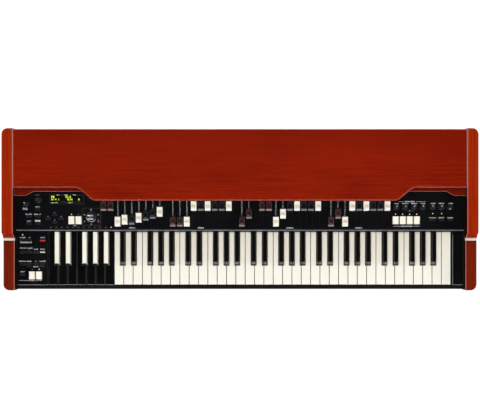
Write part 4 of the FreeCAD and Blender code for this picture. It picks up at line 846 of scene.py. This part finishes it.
def knob_wear(point):
    """The painted light at a point of a drawbar's knob: a painted highlight on its nose and painted shade in
    its hollow.
    """
    if point.y < 6.5:
        return -min(1.0, (6.5 - point.y) / 3.5)
    if abs(point.x) > 4.5 or point.z < 7:
        return 0.0
    return 0.75 * max(0.0, 1 - abs(point.y - 13.8) / 5.5)


def outline(side, along, middle):
    """A cross section from the points of its right side and the height of its middle."""
    right = [(x, along, z) for x, z in side]
    left = [(-x, along, z) for x, z in reversed(side)]
    return right + [(0.0, along, middle)] + left


@functools.cache
def drawbar_knob():
    """A drawbar's knob: a long sloping nose, a thumb hollow and a raised rail down each side."""
    rings = []
    for along, top, dish in (
        (0.0, 5.2, 0.0), (0.25, 6.6, 0.0), (0.9, 8.2, 0.0), (2.2, 9.6, 0.0), (4.0, 11.0, 0.05),
        (5.6, 12.0, 0.2), (7.0, 12.4, 0.6), (8.4, 12.1, 1.4), (10.0, 11.3, 2.0), (12.0, 10.4, 2.0),
        (14.5, 10.1, 1.6), (18.0, 10.5, 1.2), (21.5, 11.6, 0.8), (23.8, 12.3, 0.3), (24.7, 12.2, 0.0),
        (25.0, 11.4, 0.0),
    ):
        side = [(7.0, 0.0), (7.0, top - 1.0), (6.75, top - 0.35), (6.2, top), (5.1, top - dish * 0.1),
                (4.3, top - dish * 0.75), (2.2, top - dish)]
        rings.append(outline(side, along, top - dish))
    return skin(rings, knob_wear)


def set_drawbars():
    """The drawbars of each place: knobs by colour, stems, and the numbers on the stems."""
    finishes = {
        "white": (KNOB_WHITE, "cream_plastic"), "brown": (KNOB_BROWN, "brown_plastic"),
        "black": (KNOB_BLACK, "black_plastic"),
    }
    for number in sorted({place for _, places, _ in SETS for place in places}):
        body = f"drawbars_at_{number}"
        front = bar_in - bar_step * number
        knobs, stems, marks = {}, bmesh.new(), bmesh.new()
        bars = [
            (first + i * bar_pitch, colours[i])
            for first, places, colours in SETS for i, place in enumerate(places) if place == number
        ]
        for x, colour in bars:
            if colour not in knobs:
                knobs[colour] = bmesh.new()
            lay_in(knobs[colour], drawbar_knob(), PANEL @ at(x, front, 0.5))
            lay_in(stems, block(8, stem_length, 5.5, 0.4), PANEL @ at(x, front + 2.3 + stem_length / 2, -5.0))
            for mark in range(1, 9):
                spot = PANEL @ at(x, front + 22.6 + bar_step * mark, 0.53)
                lay_in(marks, words(str(mark), 2.9, 0.04), spot)
        mount(stems, f"drawbar_stems_at_{number}", STEM_BLACK, body, (body,))
        mount(marks, f"drawbar_numbers_at_{number}", INK_WHITE, body)
        for colour, piece in knobs.items():
            finish, slot = finishes[colour]
            mount(piece, f"{colour}_drawbar_knobs_at_{number}", finish, body)


# Rotary knobs, tab switches and buttons

def set_knobs():
    """Fluted knobs on skirts; a dot or a pointer marks the cap, and words mark the wide one."""
    for name, (across, x, v, turn) in KNOBS.items():
        skirt = across / 2
        grip = skirt * 0.82
        wide = across > 20
        profile = (
            (skirt * 0.6, 0.0, False), (skirt - 0.3, 0.0, False), (skirt, 0.3, False), (skirt, 1.6, False),
            (skirt - 0.5, 2.3, False), (grip + 0.5, 2.6, False), (grip, 3.2, True), (grip * 0.97, 8.0, True),
            (grip * 0.93, 12.6, True), (grip * 0.9, 13.5, True), (grip * 0.83, 14.2, False),
            (grip * 0.72, 14.5, False), (grip * 0.66, 14.3, False), (grip * 0.3, 14.1, False),
        )
        knob = bmesh.new()
        flutes = 24 if wide else 16
        cap = turned(profile, flutes * 4, flutes, 0.7 if wide else 0.55)
        shaft = turned(((3.0, -8.0, False), (3.0, 0.5, False)), 20)
        spot = PANEL @ at(x, v, 0.5)
        lay_in(knob, cap, spot)
        lay_in(knob, shaft, spot)
        mount(knob, name + "_cap", DIAL_BLACK, name, (name,))
        mark = bmesh.new()
        if wide:
            for text, y in (("VIBRATO", 4.3), ("CHORUS", -4.3)):
                lay_in(mark, words(text, 2.5, 0.1), spot @ at(0, y, 14.55))
            lay_in(mark, words("+", 2.6), spot @ at(0, 0, 14.55))
        elif turn is None:
            lay_in(mark, turned(((0.7, 14.1, False), (0.65, 14.3, False)), 16), spot @ at(0, grip * 0.45))
        else:
            dot = turned(((0.95, 14.2, False), (0.9, 14.6, False)), 16)
            lay_in(mark, dot, spot @ at(0, 0, 0, turn) @ at(0, grip * 0.74))
            lay_in(mark, block(0.9, grip * 0.4, 0.3, 0.1), spot @ at(0, 0, 14.1, turn) @ at(0, grip * 0.5))
        ink = INK_GREY if turn is None and not wide else INK_WHITE
        mount(mark, name + "_pointer", ink, name)


@functools.cache
def tab_switch():
    """A tab switch: a rounded front, a finger hollow and a raised back edge."""
    half = tab_size[0] / 2 - 0.45
    rings = []
    for along, top, dish in (
        (0.0, 3.2, 0.0), (0.3, 4.3, 0.0), (1.1, 5.1, 0.05), (2.4, 5.4, 0.15), (5.0, 5.0, 0.35),
        (9.0, 4.75, 0.5), (13.0, 4.9, 0.45), (16.5, 5.4, 0.25), (18.6, 5.9, 0.1), (19.6, 5.85, 0.0),
        (20.0, 5.3, 0.0),
    ):
        side = [(half, -4.8), (half, top - 0.9), (half - 0.25, top - 0.3), (half - 0.8, top),
                (half - 2.2, top - dish * 0.5), (half - 4.4, top - dish)]
        rings.append(outline(side, along, top - dish))
    return skin(rings)


def set_tabs():
    """The rows of tab switches."""
    for name, (left, front, count, face) in TABS.items():
        tabs = bmesh.new()
        for i in range(count):
            lay_in(tabs, tab_switch(), face @ at(left + i * tab_pitch + tab_size[0] / 2, front))
        mount(tabs, name + "_caps", TAB_CREAM, name, (name,))


@functools.cache
def button_cap():
    """A low button with rounded ends and a slightly hollow top."""
    return skin([
        rounded(12, 5, 0.8, -5.9), rounded(12, 5, 0.8, 1.0), rounded(11.8, 4.8, 0.8, 1.35),
        rounded(11.3, 4.3, 0.7, 1.6), rounded(10.4, 3.4, 0.6, 1.55), rounded(8.0, 1.6, 0.4, 1.4),
    ])


def set_buttons():
    """The buttons on the panel and on the left key block, some of them coloured."""
    panel = bmesh.new()
    for x, v in LEFT_BUTTONS + CURSOR_BUTTONS:
        lay_in(panel, button_cap(), PANEL @ at(inner_left + x, v))
    for x, v in RIGHT_BUTTONS:
        lay_in(panel, button_cap(), PANEL @ at(inner_right - x, v))
    mount(panel, "panel_button_caps", BUTTON_DARK, "panel_buttons", ("panel_buttons",))
    dark = bmesh.new()
    for v, columns in BLOCK_ROWS:
        for column in columns:
            lay_in(dark, button_cap(), BLOCK @ at(inner_left + BLOCK_COLUMNS[column], v))
    mount(dark, "block_button_caps", BUTTON_DARK, "block_buttons", ("block_buttons",))
    for (v, columns), colour, finish, slot in zip(
        BLOCK_ROWS, ("red", "pale"), (BUTTON_RED, BUTTON_PALE), ("lamp", "cream_plastic"),
    ):
        bar = bmesh.new()
        x = inner_left + BLOCK_COLUMNS[columns[-1]]
        lay_in(bar, block(12.2, 3.0, 1.0, 0.35, 3), BLOCK @ at(x, v, 0.9))
        mount(bar, f"block_button_bar_{colour}", finish, "block_buttons")


# Lamps and display

@functools.cache
def lens():
    """A domed lamp lens."""
    return turned((
        (1.2, -1.2, False), (1.2, 0.3, False), (1.05, 0.55, False), (0.75, 0.72, False), (0.3, 0.8, False),
    ), 20)


def over_tab(row, i, v):
    """A place behind one tab of a row."""
    left, _, _, face = TABS[row]
    return face @ at(left + i * tab_pitch + tab_size[0] / 2, v)


def set_lamps():
    """Indicator lamps, sorted by colour."""
    lamps = {"off": [], "grey": [], "white": [], "pink": [], "cream": [], "amber": []}
    for i in range(12):
        place = PANEL @ at(manual_left + (i + 0.55) * octave / 12, 7.9)
        lamps["pink" if i == 11 else "grey"].append(place)
    lamps["cream"].append(over_tab("vibrato_tabs", 0, 40.6))
    lamps["grey"].append(over_tab("vibrato_tabs", 1, 40.0))
    for i in range(4):
        lamps["pink"].append(over_tab("percussion_tabs", i, 41.0))
    for i, (x, _) in enumerate(RIGHT_BUTTONS):
        lamps["amber" if i < 2 else "off"].append(PANEL @ at(inner_right - x, 42.5))
    over_buttons = [
        BLOCK @ at(inner_left + BLOCK_COLUMNS[column], v + 14.7)
        for v, columns in BLOCK_ROWS for column in columns
    ]
    lamps["white"].append(over_buttons[0])
    lamps["off"] += over_buttons[1:]
    rear = TABS["rotary_tabs"][1] + tab_size[1] + 6.4
    lamps["grey"].append(over_tab("rotary_tabs", 0, rear))
    lamps["cream"].append(over_tab("rotary_tabs", 1, rear))
    finishes = {
        "off": LAMP_OFF, "grey": LAMP_GREY, "white": LAMP_WHITE, "pink": LAMP_PINK, "cream": LAMP_CREAM,
        "amber": LAMP_AMBER,
    }
    for colour, places in lamps.items():
        piece = bmesh.new()
        for place in places:
            lay_in(piece, lens(), place)
        mount(piece, f"lamps_{colour}", finishes[colour], "case", ("indicator_lamps",))


def set_display():
    """The display: a slim bezel, a dark window and lit figures."""
    left, right, front, rear = window
    wide, deep = right - left, rear - front
    middle = PANEL @ at((left + right) / 2, (front + rear) / 2)
    bezel = bmesh.new()
    lay_in(bezel, skin([
        rounded(wide + 4, deep + 4, 1.2, -0.5), rounded(wide + 4, deep + 4, 1.2, 0.7),
        rounded(wide + 3.4, deep + 3.4, 1.1, 1.0), rounded(wide + 0.7, deep + 0.7, 0.9, 1.0),
        rounded(wide + 0.1, deep + 0.1, 0.8, 0.8), rounded(wide, deep, 0.8, -0.6),
    ]), middle)
    mount(bezel, "display_bezel", BUTTON_DARK, "case", ("display_unit",))
    glass = bmesh.new()
    lay_in(glass, block(wide - 0.1, deep - 0.1, 6.0, 0.2), middle @ at(0, 0, -5.6))
    mount(glass, "display_window", DISPLAY_GLASS, "case")
    figures = bmesh.new()
    for text, height, x, v in (
        ("P8", 5.6, -34.6, 5.7), ("B 1", 4.0, -34.4, -0.3), ("4", 4.0, -27.2, -0.3), ("1", 4.0, -19.9, -0.3),
        ("91.4", 5.6, 3.6, 5.7), ("82.06", 4.2, 7.6, -0.3), ("8", 4.4, 30.4, -0.3),
    ):
        lay_in(figures, words(text, height, 0.08), middle @ at(x, v, 0.44))
    mount(figures, "display_figures", DIGITS_LIT, "case")


# Print on the panel and the key block

def line(piece, face, x0, x1, v, width=0.5):
    """A printed rule."""
    lay_in(piece, block(x1 - x0, width, 0.04, 0.01, 1), face @ at((x0 + x1) / 2, v))


def print_words(ink, grey):
    """The legends, generic words and numbers only."""
    left, right = inner_left, inner_right
    for face, side, legends in (
        (PANEL, left, (
            (25, 55.9, "MASTER", 2.1), (25, 52.3, "VOLUME", 2.1), (56.3, 59.2, "MENU", 2.4),
            (34, 40.6, "RECORD", 2.6), (56, 40.6, "BANK 1-8", 2.6), (34, 23.6, "SPLIT", 2.6),
            (149, 12.0, "ON", 2.8), (94.5, 69.6, "BANK", 2.0), (103.5, 69.6, "TEXT", 2.0),
            (139, 69.6, "SELECT", 2.2),
        )),
        (PANEL, right, (
            (-171.2, 67.6, "BASS", 2.8), (-149.2, 67.6, "MIDDLE", 2.8), (-127.3, 67.6, "TREBLE", 2.8),
            (-105.4, 67.6, "TONE", 2.8), (-80, 67.6, "DRIVE", 2.8), (-59, 67.6, "DEPTH", 2.8),
            (-36, 67.6, "LEVEL", 2.8), (-138.2, 72.4, "EQUALIZER", 2.9), (-80.6, 31.8, "OVERDRIVE", 2.2),
            (-58.3, 31.8, "EFFECT", 2.7), (-36.1, 31.8, "REVERB", 2.7), (-145.5, 10.6, "PERCUSSION", 2.9),
        )),
        (BLOCK, left, (
            (15.4, 119.3, "DOWN", 2.7), (32.6, 119.3, "UP", 2.7), (65.8, 119.3, "SPLIT", 2.9),
            (23.8, 107.2, "TRANSPOSE", 3.4), (15.6, 93.0, "OCTAVE", 2.6), (15.6, 89.4, "-", 2.6),
            (32.3, 93.0, "OCTAVE", 2.6), (32.3, 89.4, "+", 2.6), (49, 90.2, "SOLO", 2.7),
            (65.6, 90.2, "HOLD", 2.7), (15.6, 60.0, "MANUAL", 2.9), (32.3, 60.0, "BASS", 2.9),
            (49, 60.0, "A", 2.9), (65.6, 60.0, "LOWER", 2.9), (49, 46.2, "PEDAL", 2.8),
            (15.6, 33.6, "STOP", 2.9), (36, 11.6, "ROTARY", 2.6),
        )),
    ):
        for across, v, text, height in legends:
            x = side + across
            over_glass = face is PANEL and window[0] < x < window[1] and v > window[2]
            lift = glass_lift if over_glass else ink_lift
            lay_in(ink, words(text, height * 0.88, 0.05, 1.3), face @ at(x, v, lift))
    for x, v, text, height in (
        (left + 56.3, 88.6, "VALUE", 2.6), (left + 189.7, 53.5, "MIX", 2.0),
        (right - 119.4, 13.4, "THIRD", 2.0),
    ):
        lay_in(grey, words(text, height, 0.05), PANEL @ at(x, v, ink_lift))
    for across, text in ((108, "BANK"), (128, "NUMBER"), (149, "PEDAL")):
        lay_in(ink, words(text, 1.7, 0.05), PANEL @ at(left + across, 89.1, 1.02))
    for i, text in ((0, "UPPER A"), (1, "UPPER B"), (3, "LOWER A"), (4, "LOWER B")):
        first, places, _ = SETS[i]
        middle = first + (len(places) - 1) / 2 * bar_pitch
        lay_in(ink, words(text, 2.4, 0.07, 1.2), PANEL @ at(middle, 6.4, ink_lift))


def print_panel():
    """Everything printed on the panel and on the left key block."""
    ink, grey, dark, red = bmesh.new(), bmesh.new(), bmesh.new(), bmesh.new()
    left, right = inner_left, inner_right
    print_words(ink, grey)
    for piece, face, x0, x1, v in (
        (ink, BLOCK, left + 6, left + 27, 11.6), (ink, BLOCK, left + 45, left + 64, 11.6),
        (grey, BLOCK, left + 26, left + 42, 46.2), (grey, BLOCK, left + 56, left + 72, 46.2),
        (grey, PANEL @ at(0, 0, 0.42), left + 112, left + 166, 71.7),
        (ink, PANEL, right - 166, right - 154, 72.4), (ink, PANEL, right - 122, right - 98, 72.4),
        (ink, PANEL, right - 178.6, right - 158.4, 10.6), (ink, PANEL, right - 132.6, right - 112.6, 10.6),
        (grey, PANEL, right - 150, right - 142, 49), (grey, PANEL, right - 135, right - 127, 49),
    ):
        line(piece, face, x0, x1, v)
    lay_in(ink, block(13, 4.2, 0.04, 0.01, 1), PANEL @ at(left + 56, 24.1))
    lay_in(dark, words("PLAY", 2.6), PANEL @ at(left + 56, 24.1, 0.09))
    arrow = turned(((1.2, 0.0, False), (1.15, 0.05, False)), 3)
    for x, v in CURSOR_BUTTONS:
        lay_in(ink, arrow, PANEL @ at(left + x, v + 5.6))
    lay_in(ink, arrow, PANEL @ at(right - 138.5, 49.2))
    mark_dial(ink, grey, red)
    mark_ticks(grey)
    mount(ink, "panel_print", INK_WHITE, "case")
    mount(grey, "panel_print_grey", INK_GREY, "case")
    mount(dark, "panel_print_dark", INK_DARK, "case")
    mount(red, "panel_print_red", INK_RED, "case")


def mark_dial(ink, grey, red):
    """The marks round the vibrato knob, with a brighter arc below it, and the frame round them."""
    _, x, v, _ = KNOBS["vibrato_knob"]
    for across, up, text in (
        (17.4, 5.0, "V1"), (0, 16.9, "C1"), (-17.0, 5.0, "V2"), (-17.0, -11.5, "C2"), (0, -18.8, "V3"),
        (17.4, -11.5, "C3"),
    ):
        lay_in(ink, words(text, 2.3, 0.04), PANEL @ at(x + across, v + up, ink_lift))
    lay_in(red, block(3.2, 2.2, 0.05, 0.01, 1), PANEL @ at(x + 17.2, v - 6.8))
    for turn in range(0, 360, 5):
        lower = 180 < turn < 330
        dash = block(0.8 if lower else 0.4, 1.12, 0.04, 0.01, 1)
        lay_in(ink if lower else grey, dash, PANEL @ at(x, v, 0.0, turn) @ at(12.4, 0))
    for y in (-21.5, 21.5):
        line(grey, PANEL, x - 22, x + 24, v + y, 0.4)
    for side in (-22, 24):
        lay_in(grey, block(0.4, 43, 0.04, 0.01, 1), PANEL @ at(x + side, v))


def mark_ticks(grey):
    """The ticks round each knob that has a pointer."""
    for across, x, v, turn in KNOBS.values():
        if turn is None:
            continue
        for i in range(11):
            spot = PANEL @ at(x, v, 0.0, 225 - 27 * i) @ at(across / 2 + 1.2, 0)
            lay_in(grey, block(1.0, 0.3, 0.04, 0.01, 1), spot)


# Slim edges: pale strips painted as highlights, and a black strip

def set_nosings():
    """A pale satin strip along the front edge of the panel, as its painted highlight, and a black strip below
    and in front of it.
    """
    panel_highlight, dark_strip = bmesh.new(), bmesh.new()
    long = inner_right - inner_left - 1.2
    lay_in(panel_highlight, block(long, 1.1, 2.2, 0.4, 3), PANEL @ at(0, 0.75, -1.9))
    mount(panel_highlight, "panel_edge_highlight", HIGHLIGHT_GREY, "case")
    # A black strip just in front of the panel's edge.
    lay_in(dark_strip, block(long, 3.8, 2.4, 0.6, 3), PANEL @ at(0, -1.6, -3.1))
    mount(dark_strip, "panel_front_black_strip", STEM_BLACK, "case")


def edge_key_blocks():
    """Pale strips painted as the highlight along the front edge of both key blocks and the inner edge of the
    right one.
    """
    rims = bmesh.new()
    left, right = low("key_blocks").x, high("key_blocks").x
    right_block = manual_right + 4.0
    face = bench(low("key_blocks").y, block_top)
    line(rims, face, left + 2, manual_left - 0.8, 0.9, 0.7)
    line(rims, face, right_block, right - 2, 0.9, 0.7)
    lay_in(rims, block(0.6, 125, 0.04, 0.01, 1), face @ at(right_block, 63))
    mount(rims, "key_block_edge_highlights", HIGHLIGHT_GREY, "case")


def edge_presets():
    """Pale strips painted as the highlight on the front edges of the preset naturals, and greyer strips
    painted as the highlight along their gaps.
    """
    fronts, sides = bmesh.new(), bmesh.new()
    depth, top = low("preset_naturals").y, high("preset_naturals").z
    for i in range(preset_count):
        spot = bench(depth + 0.9, top - 0.35) @ at(manual_left + key_pitch * (i + 0.5), 0)
        lay_in(fronts, block(key_pitch - 2.2, 0.8, 0.5, 0.2), spot)
    mount(fronts, "preset_natural_front_highlights", HIGHLIGHT_GREY, "preset_naturals")
    for i in range(1, preset_count):
        for off in (-1.35, 1.35):
            spot = bench(depth + 1.2, top - 0.25) @ at(manual_left + key_pitch * i + off, 23.5)
            lay_in(sides, block(1.5, 44, 0.4, 0.15), spot)
    mount(sides, "preset_natural_side_highlights", PRESET_SIDE_HIGHLIGHT, "preset_naturals")


# Underside and back

@functools.cache
def screw_head():
    """A pan head that faces down."""
    return turned((
        (1.4, 0.0, False), (2.5, 0.15, False), (3.2, 0.6, False), (3.55, 1.3, False), (3.6, 2.0, False),
        (2.0, 2.0, False), (2.0, 11.0, False),
    ), 24)


def set_feet():
    """Turned rubber feet, each hollow round its screw, and the screws under the base."""
    feet, screws, slots = bmesh.new(), bmesh.new(), bmesh.new()
    foot = turned((
        (3.3, 3.6, False), (3.6, 0.5, False), (4.2, 0.1, False), (9.8, 0.0, False), (11.2, 0.5, False),
        (12.0, 2.0, False), (11.4, 6.0, False), (11.0, 9.6, False), (10.6, 10.0, False),
    ), 40)
    reach = high("rubber_feet").x - 12
    for x in (-reach, reach):
        for y in (low("rubber_feet").y + 12, high("rubber_feet").y - 12):
            lay_in(feet, foot, TABLE @ at(x, y))
            lay_in(screws, screw_head(), TABLE @ at(x, y, 2.2))
            lay_in(slots, block(4.0, 0.8, 0.5, 0.1), TABLE @ at(x, y, 2.15, 40))
    width = inner_right - inner_left
    for share in (-0.42, -0.15, 0.15, 0.42):
        for y in (low("case_screws").y + 3.12, high("case_screws").y - 3.12):
            spot = TABLE @ at(share * width, y, 8.0)
            lay_in(screws, screw_head(), spot)
            for turn in (20, 110):
                lay_in(slots, block(3.6, 0.7, 0.5, 0.1), spot @ at(0, 0, -0.04, turn))
    mount(feet, "feet", RUBBER, "case", ("rubber_feet",))
    mount(screws, "underside_screws", ZINC, "case", ("case_screws",))
    mount(slots, "underside_screw_slots", SOCKET_BLACK, "case")


def set_sockets():
    """Jack sockets with nuts, round sockets with contacts, the mains inlet and the plate's legends."""
    nickel, black, ink = bmesh.new(), bmesh.new(), bmesh.new()
    first = high("jack_plate").x - 60
    nut = skin([
        faceted(6.9, 6, 0.02), faceted(6.9, 6, 0.8), faceted(6.5, 6, 1.0), circle(4.5, 1.05),
        circle(4.4, 1.2), circle(3.5, 1.2), circle(3.25, 1.0), circle(3.25, -18.5),
    ])
    shell = skin([
        circle(9.0, -12.0), circle(9.0, 0.9), circle(8.7, 1.2), circle(7.0, 1.2), circle(6.75, 0.9),
        circle(6.75, -6.6),
    ])
    for i, name in enumerate(("PHONES", "RIGHT", "LEFT", "FOOT SW.", "IN", "OUT")):
        spot = REAR @ at(-(first - socket_pitch * i), socket_height)
        lay_in(ink, words(name, 3.0), spot @ at(0, 15, 0.05))
        if i < 4:
            lay_in(nickel, nut, spot)
            continue
        lay_in(black, shell, spot)
        lay_in(nickel, turned(((5.9, -7.6, False), (5.9, -6.5, False)), 24), spot)
        for pin in range(5):
            angle = math.radians(180 + 45 * pin)
            place = spot @ at(4.2 * math.cos(angle), 4.2 * math.sin(angle))
            lay_in(black, turned(((0.8, -6.8, False), (0.8, -6.2, False), (0.5, -6.1, False)), 14), place)
    inlet = REAR @ at(inlet_place, socket_height)
    lay_in(black, skin([
        rounded(28, 20, 1.5, -22.8), rounded(28, 20, 1.5, 0.8), rounded(27.2, 19.2, 1.4, 1.2),
        rounded(23.6, 15.6, 2.0, 1.2), rounded(23, 15, 2.0, 0.8), rounded(22.8, 14.8, 2.0, -14.8),
    ]), inlet)
    for x, y in ((-7, -1.5), (0, 2.2), (7, -1.5)):
        lay_in(nickel, block(2.0, 4.2, 11.5, 0.4), inlet @ at(x, y, -14.9))
    lay_in(ink, words("AC IN", 3.0), inlet @ at(0, 15, 0.05))
    rocker = REAR @ at(rocker_place, socket_height)
    lay_in(ink, words("POWER", 3.0), rocker @ at(0, 15, 0.05))
    mount(nickel, "socket_nuts", NICKEL, "case", ("rear_sockets",))
    mount(black, "socket_shells", SOCKET_BLACK, "case")
    mount(ink, "plate_print", INK_WHITE, "case")


def set_rocker():
    """The power rocker's own shape, with its on and off marks."""
    finish_node("power_switch", SOCKET_BLACK, 0.3)
    marks = bmesh.new()
    pivot = Matrix.Translation(Vector((-rocker_place, plate_face - 5.7, socket_height)) * MM)
    tip = pivot @ Matrix.Rotation(math.radians(-7), 4, "X")
    ring = skin([circle(1.8, 0.0), circle(1.8, 0.1), circle(1.2, 0.1), circle(1.2, 0.0)])
    for side, mark in ((1, block(0.7, 3.6, 0.1, 0.03, 1)), (-1, ring)):
        lean = Matrix.Rotation(math.radians(-9.6 * side), 4, "X")
        face = tip @ Matrix.Translation(Vector((0, 5.58, 4.5 * side)) * MM) @ lean @ TO_REAR
        lay_in(marks, mark, face)
    mount(marks, "power_switch_marks", INK_WHITE, "power_switch")


# Room: floor, lights and camera

def lay_floor():
    """A plain pale floor that stays white where no shadow falls."""
    shape = bmesh.new()
    bmesh.ops.create_circle(shape, cap_ends=True, segments=64, radius=6)
    bmesh.ops.translate(shape, verts=shape.verts, vec=(0, 0, -0.0005))
    mesh = bpy.data.meshes.new("floor")
    shape.to_mesh(mesh)
    shape.free()
    floor = bpy.data.objects.new("floor", mesh)
    bpy.context.scene.collection.objects.link(floor)
    material = bpy.data.materials.new("pale_floor")
    material.use_nodes = True
    tree = material.node_tree
    tree.nodes.remove(tree.nodes["Principled BSDF"])
    paths = put(tree, "LightPath").outputs
    seen = maths(tree, "ADD", paths["Is Camera Ray"], paths["Is Glossy Ray"])
    seen = maths(tree, "ADD", seen, paths["Is Transmission Ray"], clamp=True)
    lit = put(tree, "BsdfDiffuse", {"Color": paint(200, 200, 200)}).outputs[0]
    bright = put(tree, "AddShader", {
        0: put(tree, "BsdfDiffuse", {"Color": paint(150, 150, 150)}).outputs[0],
        1: put(tree, "Emission", {"Color": (1, 1, 1, 1), "Strength": 0.86}).outputs[0],
    }).outputs[0]
    surface = put(tree, "MixShader", {0: seen, 1: lit, 2: bright}).outputs[0]
    tree.links.new(surface, tree.nodes["Material Output"].inputs["Surface"])
    mesh.materials.append(material)


def light_room():
    """A plain studio: white round the horizon, dim overhead, a softbox above and strips round the sides."""
    world = bpy.data.worlds.new("studio")
    bpy.context.scene.world = world
    world.use_nodes = True
    tree = world.node_tree
    paths = put(tree, "LightPath").outputs
    up = put(tree, "SeparateXYZ", {0: put(tree, "TexCoord").outputs["Generated"]}).outputs["Z"]
    level = levels(tree, up, 0.15, 0.6, 0.5, 0.0)
    seen = maths(tree, "MAXIMUM", level, paths["Is Camera Ray"])
    back = tree.nodes["Background"]
    back.inputs["Color"].default_value = (1, 1, 1, 1)
    tree.links.new(seen, back.inputs["Strength"])
    for name, place, size, power, glossy in (
        ("softbox", (0, 0.1, 3.0), (3.2, 2.4), 80, False),
        ("front_strip", (0, -2.4, 0.9), (2.6, 0.36), 19, True),
        ("rear_strip", (0, 2.4, 1.1), (2.6, 0.7), 14, True),
        ("left_strip", (-2.6, 0, 1.0), (2.0, 0.7), 14, True),
        ("right_strip", (2.6, 0, 1.0), (2.0, 0.7), 20, True),
    ):
        lamp = bpy.data.lights.new(name, "AREA")
        lamp.shape = "RECTANGLE"
        lamp.size, lamp.size_y = size
        lamp.energy = power
        holder = bpy.data.objects.new(name, lamp)
        holder.location = place
        aim = Vector((0, 0, 0.1)) - Vector(place)
        holder.rotation_euler = aim.to_track_quat("-Z", "Y").to_euler()
        holder.visible_camera = False
        holder.visible_glossy = glossy
        bpy.context.scene.collection.objects.link(holder)
    bpy.context.scene.view_settings.view_transform = "Standard"


def set_camera():
    """Straight down over the middle of the case; its focal length is in pixels."""
    focal_length, picture_width = 970.6, 480
    lens_data = bpy.data.cameras.new("camera")
    lens_data.sensor_width = 36
    lens_data.lens = lens_data.sensor_width * focal_length / picture_width
    holder = bpy.data.objects.new("camera", lens_data)
    holder.location = (0, -0.001, 2.524)
    bpy.context.scene.collection.objects.link(holder)
    bpy.context.scene.camera = holder


finish_case()
finish_keys()
set_drawbars()
set_knobs()
set_tabs()
set_buttons()
set_lamps()
set_display()
print_panel()
set_nosings()
edge_key_blocks()
edge_presets()
set_feet()
set_sockets()
set_rocker()
lay_floor()
light_room()
set_camera()

bpy.context.view_layer.update()
